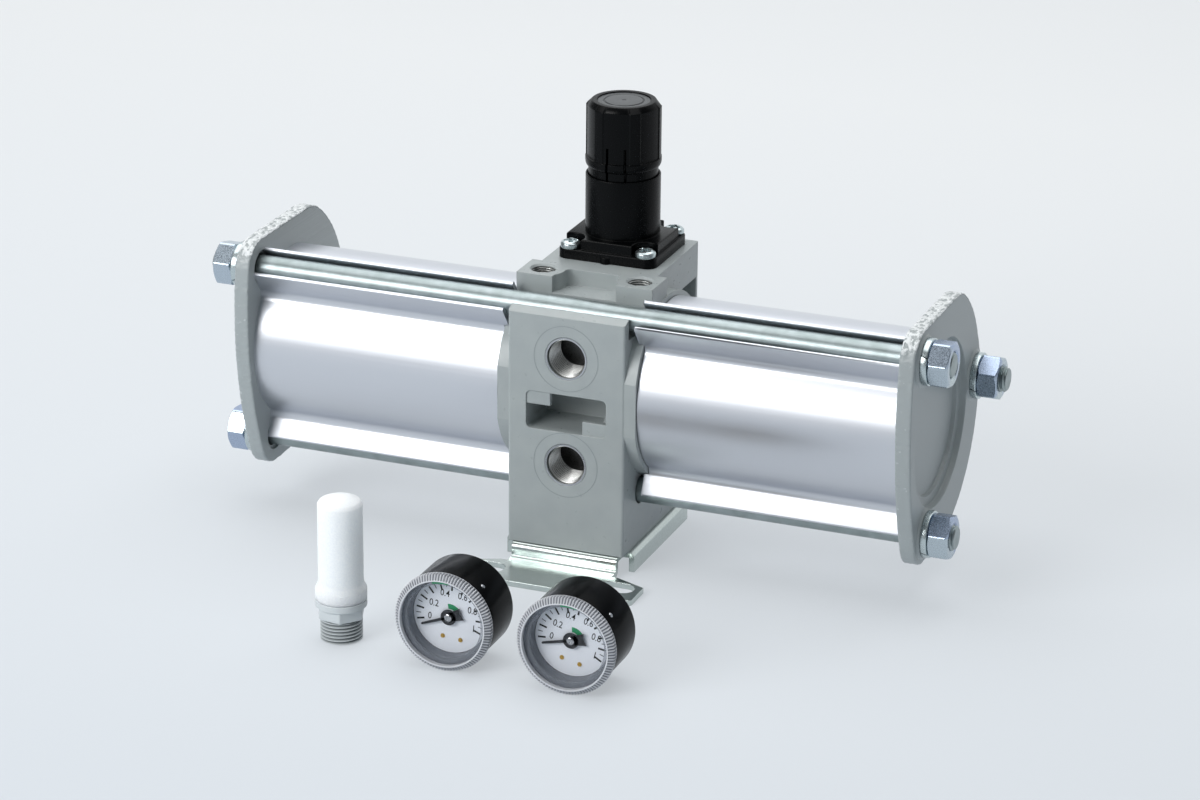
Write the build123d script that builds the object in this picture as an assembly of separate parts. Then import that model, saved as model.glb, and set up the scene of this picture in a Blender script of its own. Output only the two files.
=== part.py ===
from build123d import *
import math
import os

# An air pressure booster: two cylinders on one axis, a cast body between them that
# holds the valves, and three long tie rods that clamp the whole stack together.
# X runs along the cylinders, Y to the back, Z up. The origin is on the floor, under
# the cylinder axis and midway between the two end plates. Millimetres.

# Clearances and seats
running_gap = 0.05          # radial, between a sliding piece and its guide
static_gap = 0.02           # radial, between pieces that are pressed or screwed home
rod_hole_gap = 1.2          # radial, round a tie rod where it passes through
rest_gap = 0.3              # between pieces that almost touch
past = 1.0                  # how far a cutter runs past the face it opens
edge_break = 0.8            # small rounding or chamfer on an outside edge

# Cylinders
bore_radius = 31.5          # 63 mm bore
tube_wall = 2.5
tube_outer_end = 131.15     # from the middle to the inner face of an end plate
socket_floor = 22.5         # from the middle to the cylinder's inner end wall
tube_gasket = 1.0
tube_spigot_radius = 33.0   # the end inside the body's collar is turned down to this
rib_start = 26.6            # the ribs are cut back here, clear of the body
rib_half_width = 6.8
rib_lip = 4.35              # how far the ribs reach past the rods' centres
rib_root_fillet = 4.0
rib_lip_fillet = 0.6

# Tie rods, M10 rolled thread on a 9 mm blank
tie_rod_radius = 4.5
tie_thread_radius = 5.0
tie_thread_length = 18.5
tie_circle_radius = 41.65
tie_angle = 6.87            # of the rear rod, degrees up from the Y axis
tie_rod_show = 1.35         # how far a centred rod's tip stands out of its nut
tie_rod_shifts = (2.4, -1.2, 0.0)     # how far each rod sits to the right, rear to lower
tie_channel_gap = 0.8
tie_thread_runout = 0.5
thread_chamfer = 1.0
nut_across_flats = 16.0
nut_height = 8.0
nut_face_share = 0.97       # of the flats, left flat on a nut's face
nut_chamfer_angle = 30.0
nut_mouth = 0.5
spring_washer = 2.5
spring_washer_radius = 9.0
spring_washer_slit = 0.5
spring_washer_cut = 25.0    # degrees that the slit leans
spring_washer_bore_gap = 0.2

# End plates
plate_thickness = 6.1
plate_pad = 0.9
plate_margin = 4.0          # plate edge outside the tubes' ribs
plate_ear_radius = 12.0
plate_rear_ear_radius = 10.4
plate_front_bulge = 147.6   # radius of the front edge, which runs into both front ears
plate_top_round = 20.0      # where the flat top runs into the round back
plate_recess_radius = 32.0
plate_recess_depth = 2.4
plate_step_radius = 28.5
plate_step_depth = 0.8
plate_spigot = 1.0
plate_edge_round = 0.8
plate_pad_margin = 0.6      # round a spring washer
plate_hole_gap = 0.6
rod_counterbore_radius = 7.0
rod_counterbore_depth = 1.2

# Body casting
body_half_width = 23.7
body_front = 34.8           # front face, in front of the axis
body_back = 34.8
body_below = 59.9           # underside, below the axis
slab_height = 33.7          # front edge of the slab's sloping top
slab_lip_height = 35.3      # back edge of it
slab_lip_thickness = 4.0
groove_floor = 27.0
shelf_half_width = 27.7
shelf_front = 16.9
shelf_back = 1.1
shelf_top = 43.0
block_back = 43.9
block_underside = 29.0
rear_wall = 2.6
rear_wall_bottom = 12.0
side_pocket_depth = 9.0
corner_fillet = 1.0
collar_radius = 36.1
collar_reach = 28.2
collar_flat = 0.3           # the collars' flat fronts, behind the front face
collar_mouth = 0.5
socket_gap = 0.2

# Front window with its two tabs
window_half_width = 16.3
window_top = 2.8
window_bottom = -12.3
window_depth = 20.5
window_fillet = 2.0
window_ledge_width = 4.8     # the ledge on the window's floor, at its right end
window_ledge_height = 4.5
window_ledge_length = 8.0
window_ledge_slope = 2.0
tab_length = 9.7
tab_height = 5.3
tab_thickness = 2.2
tab_sink = 0.5

# Ports. Rc 3/8 and Rc 1/8 threads are plain bores at the thread's pitch diameter
port_radius = 7.9
port_depth = 14.0
inlet_height = 17.5
outlet_height = -25.5
exhaust_height = -20.0
port_passage_radius = 5.4
exhaust_passage_radius = 3.6
gauge_port_radius = 4.57
gauge_port_depth = 9.0
gauge_port_spread = 19.7    # from the middle
gauge_port_front = 9.0
gauge_boss_radius = 8.8
shelf_recess_depth = 6.5
shelf_recess_half_width = 13.0
shelf_recess_back = 6.0
shelf_recess_fillet = 2.5

# Galleries and check valves
gallery_radius = 5.8
gallery_reach = 16.0
inlet_gallery = (-14.0, 17.5)
outlet_gallery = (-12.0, -19.0)
check_hole_radius = 1.3
check_hole_circle = 4.0
check_disc_radius = 6.6
check_disc_thickness = 1.2
check_screw_radius = 1.5
check_screw_depth = 5.0
check_head_radius = 2.6
check_head_height = 1.6

# Piston rod and pistons
rod_radius = 8.0
rod_thread_radius = 5.0
bush_radius = 10.5
bush_half_length = 14.0
rod_seal_radius = 12.0
rod_seal_length = 5.0
rod_seal_groove = 2.5
rod_seal_lip = 0.5          # half the gap between a rod seal's two lips
piston_length = 16.0
piston_gap = 0.45
seal_width = 3.5
seal_depth = 4.0
wear_ring_width = 5.0
wear_ring_depth = 1.8
groove_gap = 0.1
seal_margin = 1.5           # piston rim outside each seal groove
seal_lip = 0.7
seal_lip_root = 1.6
piston_nut_height = 6.0
piston_nut_flats = 17.0
piston_web_recess = 3.0
piston_outer_recess = 5.0
piston_hub_wall = 5.0
piston_rim_wall = 4.0
rod_tip = 1.0

# Switching valve
spool_place = (14.0, -20.0)
sleeve_radius = 6.5
spool_radius = 4.4
spool_waist_radius = 2.8
spool_land = 5.0
spool_pitch = 9.0
spool_travel = 2.5
push_rod_radius = 2.0
push_rod_show = 3.0
push_rod_clear = 0.5
end_bush_length = 4.0
sleeve_port_radius = 1.2
o_ring_section = 1.5

# Governor, under the regulator
governor_back = 23.0        # axis of the regulator, behind the cylinder axis
diaphragm_radius = 14.5
diaphragm_thickness = 0.8
diaphragm_room_radius = 12.0
diaphragm_room_depth = 3.5
diaphragm_plate_radius = 9.0
diaphragm_plate_thickness = 1.5
spring_locator = 1.0
seat_radius = 7.0
seat_height = 6.0
seat_hole_radius = 2.4
seat_skirt = 1.6            # depth of the seat's room for the poppet
poppet_side_gap = 0.6
poppet_seat_gap = 0.1
poppet_room_radius = 5.0
poppet_room_depth = 18.0
poppet_radius = 3.6
poppet_height = 4.0
stem_radius = 1.4
valve_wire = 0.6
valve_spring_radius = 3.0
valve_spring_turns = 5

# Regulator bonnet and knob
flange_x = 40.0
flange_y = 37.4
flange_plate = 4.0
flange_rise = 8.0
flange_fillet = 4.0
flange_step_inset = 1.2
flange_nub_radius = 2.0
bonnet_radius = 14.5
bonnet_height = 31.4        # from the block's top to the bonnet's rim
bonnet_rim_wall = 0.7
bonnet_rim_depth = 1.5
bonnet_rim_chamfer = 0.25
bonnet_spigot_radius = 9.5
bonnet_spigot_height = 12.0
bonnet_bore_radius = 11.2
bonnet_bore_height = 25.0
bonnet_screw_spread = 15.35
bonnet_screw_radius = 2.0
bonnet_screw_depth = 9.0
bonnet_head_radius = 4.0
bonnet_head_height = 2.9
bonnet_screw_turns = (20, 65, 35, 80)     # degrees at which the crosses stand
screw_notch_radius = 5.4
knob_radius = 14.7
knob_height = 25.9
knob_neck_radius = 13.5
knob_neck_height = 4.4
knob_roof = 3.2
knob_hub_gap = 1.0
knob_turn = 9.0             # degrees that the knob stands turned from the front
knob_grip_sink = 0.2        # grip inside the foot ring's radius
knob_crown_radius = 12.3
knob_crown_height = 2.1
knob_foot = 3.8
knob_foot_round = 2.3
knob_foot_steps = 5         # short straight steps along the foot's round
knob_panels = 6
knob_panel_sink = 0.75      # in a panel's middle
knob_panel_curve = 23.3     # radius of a panel's shallow arc
knob_panel_half_width = 5.2
knob_slit_width = 0.8
knob_slit_depth = 2.4
knob_slit_spread = 3.6
knob_slit_height = 14.0
knob_cap_radius = 10.2
knob_cap_recess = 1.0
knob_cap_sink = 0.3
knob_cap_rim = 2.2
knob_cap_ring = 0.8
screw_radius = 4.0          # adjusting screw, M8
screw_pitch = 1.25
screw_turns = 4
screw_end_margin = 1.0
screw_head_radius = 5.0
screw_head_height = 6.0
seat_nut_radius = 9.6
seat_nut_height = 4.0
regulator_wire = 2.0
regulator_spring_radius = 7.6
regulator_turns = 4

# Foot bracket, bent from zinc plated sheet
bracket_sheet = 2.2
bracket_rise = 8.1
bracket_length = 118.0
bracket_width = 73.0
platform_half_width = 26.3
flange_length = 58.0
neck_half_width = 21.6
neck_flare = 2.5
bend_face = 36.2            # front of the upright stretch between the two bends
foot_depth = 18.5           # from the bracket's end back to the neck
ear_depth = 13.3            # from the bracket's end back to an ear's shoulder
bend_radius = 0.8           # on the inside of each bend
slot_inset = 10.0           # from the bracket's edges to a slot's centre
slot_half_width = 4.5
slot_length = 15.0
ear_fillet = 1.5
bracket_screw_x = 14.0
bracket_screw_y = 22.0
bracket_screw_radius = 2.1
bracket_screw_depth = 10.0
bracket_head_radius = 4.4
bracket_head_height = 3.0
pan_rim_share = 0.35        # of a pan head's height, below its dome
cross_length_share = 1.1    # of the head's radius
cross_width_share = 0.28

# Silencer, standing on its thread in front of the booster
silencer_place = (-51.6, -126.3)
silencer_thread_radius = 7.9
silencer_thread_taper = 0.4
silencer_thread_length = 7.8
silencer_flats = 16.6
silencer_hex_height = 3.9
silencer_collar_radius = 9.6
silencer_collar_height = 4.3
silencer_flare_radius = 9.7
silencer_flare_height = 4.5
silencer_shoulder = 2.4
silencer_spigot = 4.0
element_radius = 8.25
element_height = 56.2
element_dome = 3.4
element_roof = 3.0
element_bore = 5.2
silencer_bore = 4.6

# The two gauges, lying on their rims in front of the booster
gauge_left = (-5.4, -142.6, 5.3)      # X of the axis, Y of the front, roll clockwise
gauge_right = (43.1, -144.5, 13.3)
gauge_rim_radius = 19.0
gauge_bezel_radius = 16.8             # the rim's front, which widens like a cone
gauge_bezel_depth = 4.0
gauge_case_radius = 18.3
gauge_case_depth = 26.5
gauge_rim_depth = 6.0
gauge_rim_wall = 1.7
gauge_window_sink = 0.8
gauge_window = 1.2
gauge_case_wall = 1.5
gauge_spigot_wall = 3.0
gauge_spigot_start = 3.2
gauge_dial_place = 10.0
gauge_dial_thickness = 0.5
gauge_dial_hole = 1.3
gauge_pointer_place = 8.6
gauge_pointer_thickness = 0.5
gauge_pointer_tip = 11.5
gauge_pointer_tail = 5.7
gauge_pointer_hub = 3.0
pointer_arm_root = 0.55
pointer_arm_tip = 0.4
pointer_tail_root = 1.6
pointer_tail_tip = 2.4
pointer_tail_notch = 0.5
pointer_cap_height = 0.7
pointer_cap_top = 1.3
pointer_cap_foot = 1.6
gauge_shaft_radius = 0.6
gauge_stem_radius = 4.8
gauge_stem_length = 10.0
gauge_block_radius = 3.6
gauge_block_start = 12.5
gauge_shaft_seat = 4.0
gauge_stem_bore = 1.5
gauge_arm_place = 19.0
gauge_arm_width = 3.0
bourdon_radius = 11.0
bourdon_section = 1.3
bourdon_sweep = 260.0
dial_screw_radius = 0.9
dial_screw_head = 0.5
dial_screw_shank = 0.5
dial_screw_length = 3.2
dial_screw_middle = 1.5     # the two dial screws sit a little to the right
dial_screw_spread = 3.5
dial_screw_drop = 8.3
post_radius = 1.4
post_length = 3.0
bar_thickness = 1.6
bar_width = 3.0
stop_pin_radius = 0.35
stop_pin_circle = 9.2
stop_pin_gap = 0.1
pointer_rest = 206.4        # where the pointer rests, degrees, from the right round to the left

# Derived places
axis_height = bracket_rise + body_below
block_top = axis_height + shelf_top
tube_radius = bore_radius + tube_wall
rib_tip_radius = tie_circle_radius + rib_lip
plate_radius = rib_tip_radius + plate_margin
plate_outer = tube_outer_end + plate_thickness
pad_outer = plate_outer + plate_pad
tie_rod_reach = pad_outer + spring_washer + nut_height + tie_rod_show
tube_inner_end = socket_floor + tube_gasket
tube_spigot_end = collar_reach + rest_gap
push_rod_reach = socket_floor + push_rod_show
inner_stop = push_rod_reach + spool_travel + push_rod_clear
outer_stop = tube_outer_end - plate_spigot - push_rod_clear - piston_nut_height - rod_tip
half_stroke = (outer_stop - piston_length - inner_stop) / 2
piston_inner_face = inner_stop + half_stroke
rod_shoulder = piston_inner_face + piston_web_recess
piston_outer_face = piston_inner_face + piston_length
rod_end = piston_outer_face + piston_nut_height + rod_tip
guide_radius = bore_radius - running_gap
gauge_axis_height = gauge_rim_radius
room_floor = block_top - diaphragm_thickness - diaphragm_room_depth
poppet_top = room_floor - seat_height + seat_skirt - poppet_seat_gap
seat_nut_top = block_top + bonnet_bore_height - rest_gap
screw_top = block_top + bonnet_height + bonnet_spigot_height + rest_gap
knob_base = block_top + bonnet_height - bonnet_rim_depth + rest_gap
knob_top = knob_base + knob_neck_height + knob_height
gauge_seat_radius = gauge_rim_radius - gauge_rim_wall - static_gap


def tie_places():
    """Centres (Y, Z) of the three tie rods, measured from the cylinder axis."""
    places = []
    for step in range(3):
        angle = math.radians(tie_angle + 120 * step)
        places.append((tie_circle_radius * math.cos(angle), tie_circle_radius * math.sin(angle)))
    return places


rear_tie, upper_tie, lower_tie = tie_places()


def section(x):
    """The plane across the cylinders at x, drawn in (Y, Z) about the cylinder axis."""
    return Plane(origin=(x, 0, axis_height), x_dir=(0, 1, 0), z_dir=(1, 0, 0))


def across(outline, x0, x1):
    """A (Y, Z) outline carried along X from x0 to x1."""
    return extrude(section(x0) * outline, amount=x1 - x0)


def rod_x(place, radius, x0, x1):
    """A round bar along X at a (Y, Z) place measured from the cylinder axis."""
    return across(Pos(place[0], place[1]) * Circle(radius), min(x0, x1), max(x0, x1))


def rod_y(x, z, radius, y0, y1):
    """A round bar along Y, its height measured from the cylinder axis."""
    low = Plane(origin=(x, min(y0, y1), axis_height + z), x_dir=(1, 0, 0), z_dir=(0, 1, 0))
    return extrude(low * Circle(radius), amount=abs(y1 - y0))


def rod_z(x, y, radius, z0, z1):
    """A round bar along Z between two heights above the floor."""
    return extrude(Pos(x, y, z0) * Circle(radius), amount=z1 - z0)


def block(x0, x1, y0, y1, z0, z1):
    """A rectangular block between two corners."""
    middle = Pos((x0 + x1) / 2, (y0 + y1) / 2, (z0 + z1) / 2)
    return middle * Box(x1 - x0, y1 - y0, z1 - z0)


def turned(points, origin, direction):
    """A turned piece: points are (distance along the axis, radius)."""
    ahead = Vector(*direction)
    side = Vector(0, 1, 0) if abs(ahead.Z) > 0.5 else Vector(0, 0, 1)
    plane = Plane(origin=origin, x_dir=ahead, z_dir=ahead.cross(side))
    outline = make_face(Polyline(*points, close=True).edges())
    return revolve(plane * outline, Axis(origin, direction), 360)


def ring(inner, outer, start, end, origin, direction):
    """A plain ring between two distances along an axis."""
    points = [(start, inner), (start, outer), (end, outer), (end, inner)]
    return turned(points, origin, direction)


def coil(radius, wire, height, turns, place):
    """A compression spring that stands on place; its wire ends in flat rings."""
    pitch = (height - 2 * wire) / turns
    path = Helix(pitch=pitch, height=pitch * turns, radius=radius)
    start = path @ 0
    wire_section = Plane(origin=start, z_dir=path % 0) * Circle(wire / 2)
    spring = sweep(wire_section, path=path)
    spring = Pos(0, 0, wire) * spring
    end_ring = Pos(0, 0, wire * 0.75) * Torus(radius, wire / 2)
    bottom = end_ring & block(-2 * radius, 2 * radius, -2 * radius, 2 * radius, wire * 0.3, 2 * wire)
    top = Pos(0, 0, height) * mirror(bottom, Plane.XY)
    return Pos(*place) * (spring + bottom + top)


def hexagon(across_flats):
    return RegularPolygon(across_flats / 2, 6, major_radius=False)


def hex_nut(across_flats, height, hole_radius):
    """A nut along Z from 0, with both faces chamfered round its corners."""
    corner = across_flats / math.sqrt(3)
    bevel = corner - across_flats / 2 * nut_face_share
    drop = bevel * math.tan(math.radians(nut_chamfer_angle))
    nut = extrude(hexagon(across_flats), amount=height)
    edge = [(0, 0), (0, corner - bevel), (drop, corner), (height - drop, corner)]
    edge += [(height, corner - bevel), (height, 0)]
    nut = nut & turned(edge, (0, 0, 0), (0, 0, 1))
    mouth = hole_radius + nut_mouth
    hole = [(-past, 0), (-past, mouth), (0, mouth), (nut_mouth, hole_radius)]
    hole += [(height - nut_mouth, hole_radius), (height, mouth), (height + past, mouth), (height + past, 0)]
    return nut - turned(hole, (0, 0, 0), (0, 0, 1))


def dome_arc(radius, base, rise):
    """The arc of a shallow dome, from its rim in to its top on the axis."""
    curve = (radius ** 2 + rise ** 2) / (2 * rise)
    middle = radius / 2
    height = base + rise - curve + math.sqrt(curve ** 2 - middle ** 2)
    return ThreePointArc((radius, base), (middle, height), (0, base + rise))


def pan_screw(head_radius, head_height, shank_radius, depth):
    """A cross recessed pan head screw, seated at 0, with its shank going down."""
    rim = pan_rim_share * head_height
    points = [(0, -depth), (shank_radius, -depth), (shank_radius, 0)]
    points += [(head_radius, 0), (head_radius, rim)]
    profile = Polyline(*points)
    dome = dome_arc(head_radius, rim, head_height - rim)
    back = Line((0, head_height), (0, -depth))
    outline = make_face(profile.edges() + [dome, back])
    screw = revolve(Plane.XZ * outline, Axis.Z, 360)
    long = head_radius * cross_length_share
    short = head_radius * cross_width_share
    recess = Box(long, short, head_height) + Box(short, long, head_height)
    return screw - Pos(0, 0, head_height) * recess


def rib_frame(index):
    """Turns the outline of one tube rib, drawn along +X, to its tie rod."""
    return Rot(0, 0, tie_angle + 120 * index)


def tube_outline():
    """Extruded section: a round tube with three open channels for the tie rods."""
    channel = tie_rod_radius + tie_channel_gap
    outline = Circle(tube_radius)
    for index in range(3):
        reach = rib_tip_radius - bore_radius
        rib = Pos(bore_radius + reach / 2, 0) * Rectangle(reach, 2 * rib_half_width)
        outline += rib_frame(index) * rib
    roots = [v for v in outline.vertices() if abs(Vector(v.X, v.Y).length - tube_radius) < 0.01]
    outline = fillet(roots, rib_root_fillet)
    for index in range(3):
        mouth = rib_tip_radius - tie_circle_radius + past
        slot = Pos(tie_circle_radius + mouth / 2, 0) * Rectangle(mouth, 2 * channel)
        outline -= rib_frame(index) * (slot + Pos(tie_circle_radius, 0) * Circle(channel))
    tips = [v for v in outline.vertices() if Vector(v.X, v.Y).length > rib_tip_radius - 0.01]
    outline = fillet(tips, rib_lip_fillet)
    return outline - Circle(bore_radius)


def tube(side):
    """One cylinder tube; its end is turned down for the socket, its ribs reach over the collar."""
    shape = across(tube_outline(), rib_start, tube_outer_end)
    turned_off = Circle(collar_radius + rest_gap) - Circle(tube_spigot_radius)
    shape -= across(turned_off, rib_start - past, tube_spigot_end)
    spigot = Circle(tube_spigot_radius) - Circle(bore_radius)
    shape += across(spigot, tube_inner_end, tube_spigot_end)
    return shape if side > 0 else mirror(shape, Plane.YZ)


def tangent_points(first, second):
    """Where an outline leaves one circle (centre, radius) and meets the next one in line."""
    (a, a_radius), (b, b_radius) = first, second
    gap = math.dist(a, b)
    ahead = ((b[0] - a[0]) / gap, (b[1] - a[1]) / gap)
    along = max(-1, min(1, (a_radius - b_radius) / gap))
    aside = math.sqrt(1 - along ** 2)
    out = (along * ahead[0] + aside * ahead[1], along * ahead[1] - aside * ahead[0])
    leave = (a[0] + a_radius * out[0], a[1] + a_radius * out[1])
    meet = (b[0] + b_radius * out[0], b[1] + b_radius * out[1])
    return (leave, meet) if math.dist(leave, meet) > 0.001 else (leave, leave)


def arc_round(centre, radius, start, end):
    """The counterclockwise arc from start to end."""
    first = math.atan2(start[1] - centre[1], start[0] - centre[0])
    turn = (math.atan2(end[1] - centre[1], end[0] - centre[0]) - first) % (2 * math.pi)
    middle = first + turn / 2
    crown = (centre[0] + radius * math.cos(middle), centre[1] + radius * math.sin(middle))
    return ThreePointArc(start, crown, end)


def belt(circles):
    """A smooth closed outline, counterclockwise round circles given as (centre, radius)."""
    joints = [tangent_points(a, b) for a, b in zip(circles, circles[1:] + circles[:1])]
    edges = []
    for index, (centre, radius) in enumerate(circles):
        edges.append(arc_round(centre, radius, joints[index - 1][1], joints[index][0]))
        if joints[index][0] != joints[index][1]:
            edges.append(Line(*joints[index]))
    return make_face(edges)


def plate_outline():
    """Three eared plate: round behind, flat on top, with a slightly bulged front edge."""
    disc = ((0, 0), plate_radius)
    rear = (rear_tie, plate_rear_ear_radius)
    lower = (lower_tie, plate_ear_radius)
    upper = (upper_tie, plate_ear_radius)
    drop = upper_tie[1] + plate_ear_radius - plate_top_round
    shoulder = ((math.sqrt((plate_radius - plate_top_round) ** 2 - drop ** 2), drop), plate_top_round)
    half = math.dist(upper_tie, lower_tie) / 2
    inward = math.sqrt((plate_front_bulge - plate_ear_radius) ** 2 - half ** 2) / half
    middle = ((upper_tie[0] + lower_tie[0]) / 2, (upper_tie[1] + lower_tie[1]) / 2)
    rise = (upper_tie[0] - middle[0], upper_tie[1] - middle[1])
    front = ((middle[0] + inward * rise[1], middle[1] - inward * rise[0]), plate_front_bulge)
    return belt([front, lower, disc, rear, disc, shoulder, upper])


def end_plate(side):
    """Cast end plate with nut pads, a stepped round recess and a spigot for the tube."""
    shape = across(plate_outline(), tube_outer_end, plate_outer)
    faces = shape.faces().sort_by(Axis.X)
    shape = fillet(faces[0].edges() + faces[-1].edges(), plate_edge_round)
    for place in (rear_tie, upper_tie, lower_tie):
        shape += rod_x(place, spring_washer_radius + plate_pad_margin, plate_outer - past, pad_outer)
    shape += rod_x((0, 0), bore_radius - static_gap, tube_outer_end - plate_spigot, tube_outer_end)
    shape -= rod_x((0, 0), plate_recess_radius, plate_outer - plate_recess_depth, pad_outer + past)
    step_floor = plate_outer - plate_recess_depth - plate_step_depth
    shape -= rod_x((0, 0), plate_step_radius, step_floor, pad_outer + past)
    for place in (rear_tie, upper_tie, lower_tie):
        shape += rod_x(place, spring_washer_radius + plate_pad_margin, step_floor, pad_outer)
        shape -= rod_x(place, tie_thread_radius + plate_hole_gap, tube_outer_end - 2 * past, pad_outer + past)
        counterbore = tube_outer_end + rod_counterbore_depth
        shape -= rod_x(place, rod_counterbore_radius, tube_outer_end - past, counterbore)
    shape -= gasket_ring(tube_radius, tube_outer_end, tube_outer_end + tube_gasket, static_gap)
    return shape if side > 0 else mirror(shape, Plane.YZ)


def gasket_ring(end_radius, x0, x1, extra):
    """The flat sealing ring under a tube's end, or its groove with extra all round."""
    wall = (end_radius - bore_radius) / 4
    outline = Circle(end_radius - wall + extra) - Circle(bore_radius + wall - extra)
    return across(outline, x0, x1 + extra)


def tube_gaskets():
    rings = []
    for end_radius, x0 in ((tube_radius, tube_outer_end), (tube_spigot_radius, socket_floor)):
        right = gasket_ring(end_radius, x0, x0 + tube_gasket, 0)
        rings += [right, mirror(right, Plane.YZ)]
    return Compound(children=rings)


def tie_rod(place, shift):
    """One rod from end to end, with a slightly larger rolled thread at both ends."""
    start = tie_rod_reach - tie_thread_length
    half = [(0, 0), (0, tie_rod_radius), (start, tie_rod_radius)]
    half += [(start + tie_thread_runout, tie_thread_radius)]
    half += [(tie_rod_reach - thread_chamfer, tie_thread_radius)]
    half += [(tie_rod_reach, tie_thread_radius - thread_chamfer), (tie_rod_reach, 0)]
    origin = (shift, place[0], axis_height + place[1])
    return turned(half, origin, (1, 0, 0)) + turned(half, origin, (-1, 0, 0))


def at_tie_ends(piece, x0):
    """Copies of a piece, drawn along +Z from 0, outside both end plates on each rod."""
    copies = []
    for place in (rear_tie, upper_tie, lower_tie):
        right = Plane(origin=(x0, place[0], axis_height + place[1]), x_dir=(0, 0, 1), z_dir=(1, 0, 0))
        left = Plane(origin=(-x0, place[0], axis_height + place[1]), x_dir=(0, 0, 1), z_dir=(-1, 0, 0))
        copies += [right * piece, left * piece]
    return Compound(children=copies)


def tie_rod_nuts():
    nut = hex_nut(nut_across_flats, nut_height, tie_thread_radius + static_gap)
    return at_tie_ends(nut, pad_outer + spring_washer)


def spring_washers():
    hole = Circle(tie_thread_radius + spring_washer_bore_gap)
    washer = extrude(Circle(spring_washer_radius) - hole, amount=spring_washer)
    slit = Rot(0, spring_washer_cut, 0) * Box(spring_washer_slit, 2 * spring_washer_radius, 3 * spring_washer)
    slit = Pos(0, spring_washer_radius, spring_washer / 2) * slit
    return at_tie_ends(washer - slit, pad_outer)


def body_side():
    """The casting's outline seen from the side, in (Y, Z) about the cylinder axis."""
    lip_back = slab_lip_thickness - body_front
    corners = [(-body_front, -body_below), (-body_front, slab_height)]
    corners += [(lip_back, slab_lip_height), (lip_back, groove_floor)]
    corners += [(-shelf_front, groove_floor), (-shelf_front, shelf_top)]
    corners += [(block_back, shelf_top), (block_back, rear_wall_bottom)]
    corners += [(body_back, rear_wall_bottom), (body_back, -body_below)]
    return make_face(Polyline(*corners, close=True).edges())


def body_blank():
    """Solid form of the casting, before its bores and pockets."""
    shape = across(body_side(), -body_half_width, body_half_width)
    upright = shape.edges().filter_by(Axis.Z)
    front = [e for e in upright if abs(e.center().Y + body_front) < 0.01]
    rear = [e for e in upright if abs(e.center().Y - block_back) < 0.01]
    rear += [e for e in upright if abs(e.center().Y - body_back) < 0.01]
    shape = fillet(front + rear, corner_fillet)
    low, high = axis_height + groove_floor, axis_height + shelf_top
    shelf = block(-shelf_half_width, shelf_half_width, -shelf_front, -shelf_back, low, high)
    collars = rod_x((0, 0), collar_radius, -collar_reach, collar_reach)
    flat = collar_flat - body_front
    trim = block(-collar_reach, collar_reach, flat, collar_radius, 0, 2 * axis_height)
    shelf -= rib_notches()
    shape += shelf + (collars & trim)
    for side in (-1, 1):
        outer = side * (body_half_width + past)
        inner = side * (body_half_width - side_pocket_depth)
        bottom = axis_height + rear_wall_bottom - past
        top = axis_height + block_underside
        pocket = block(min(inner, outer), max(inner, outer), 0, block_back - rear_wall, bottom, top)
        core = rod_x((0, 0), collar_radius, inner, outer)
        shape -= pocket - core
    return shape


def rib_notches():
    """Room in the shelf's lower front edge for the upper rib of each tube."""
    reach = rib_tip_radius + rest_gap
    outline = rib_frame(1) * Pos(reach / 2, 0) * Rectangle(reach, 2 * rib_half_width + 2 * rest_gap)
    notch = across(outline, rib_start - rest_gap, shelf_half_width + past)
    return notch + mirror(notch, Plane.YZ)


def front_window():
    """The deep pocket in the front face; two tabs stand in its corners."""
    width = 2 * window_half_width
    height = window_top - window_bottom
    middle = axis_height + (window_top + window_bottom) / 2
    face = Plane(origin=(0, -body_front, middle), x_dir=(1, 0, 0), z_dir=(0, -1, 0))
    opening = extrude(face * RectangleRounded(width, height, window_fillet), amount=-window_depth)
    front = tab_sink - body_front
    back = front + tab_thickness
    for side in (-1, 1):
        x0, x1 = sorted((side * window_half_width, side * (window_half_width - tab_length)))
        edge = axis_height + (window_top if side < 0 else window_bottom)
        z0, z1 = sorted((edge, edge + side * tab_height))
        opening -= block(x0, x1, front, back, z0, z1)
    return opening - window_ledge()


def window_ledge():
    """The low ledge with one sloping side that stands in the window's right end."""
    right, bottom = window_half_width, window_bottom
    left, top = right - window_ledge_width, bottom + window_ledge_height
    corners = [(right + past, bottom - past), (right + past, top), (left, top)]
    corners += [(left - window_ledge_slope, bottom - past)]
    outline = make_face(Polyline(*corners, close=True).edges())
    back = window_depth - body_front + past
    floor = Plane(origin=(0, back, axis_height), x_dir=(1, 0, 0), z_dir=(0, -1, 0))
    return extrude(floor * outline, amount=window_ledge_length + past)


def port(x, y, z, radius, depth, direction):
    """A threaded port's plain bore with a chamfered mouth; direction goes into the body."""
    mouth = radius + edge_break
    points = [(-past, 0), (-past, mouth), (0, mouth), (edge_break, radius)]
    points += [(depth, radius), (depth, 0)]
    return turned(points, (x, y, z), direction)


def gallery_cuts(place):
    """A cross gallery with three holes and a screw hole through each cylinder end wall."""
    cuts = rod_x(place, gallery_radius, -gallery_reach, gallery_reach)
    for index in range(3):
        angle = math.radians(90 + 120 * index)
        y = place[0] + check_hole_circle * math.cos(angle)
        z = place[1] + check_hole_circle * math.sin(angle)
        cuts += rod_x((y, z), check_hole_radius, -socket_floor - past, socket_floor + past)
    for side in (-1, 1):
        deep = socket_floor - check_screw_depth
        cuts += rod_x(place, check_screw_radius + static_gap, side * deep, side * (socket_floor + past))
    return cuts


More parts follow.
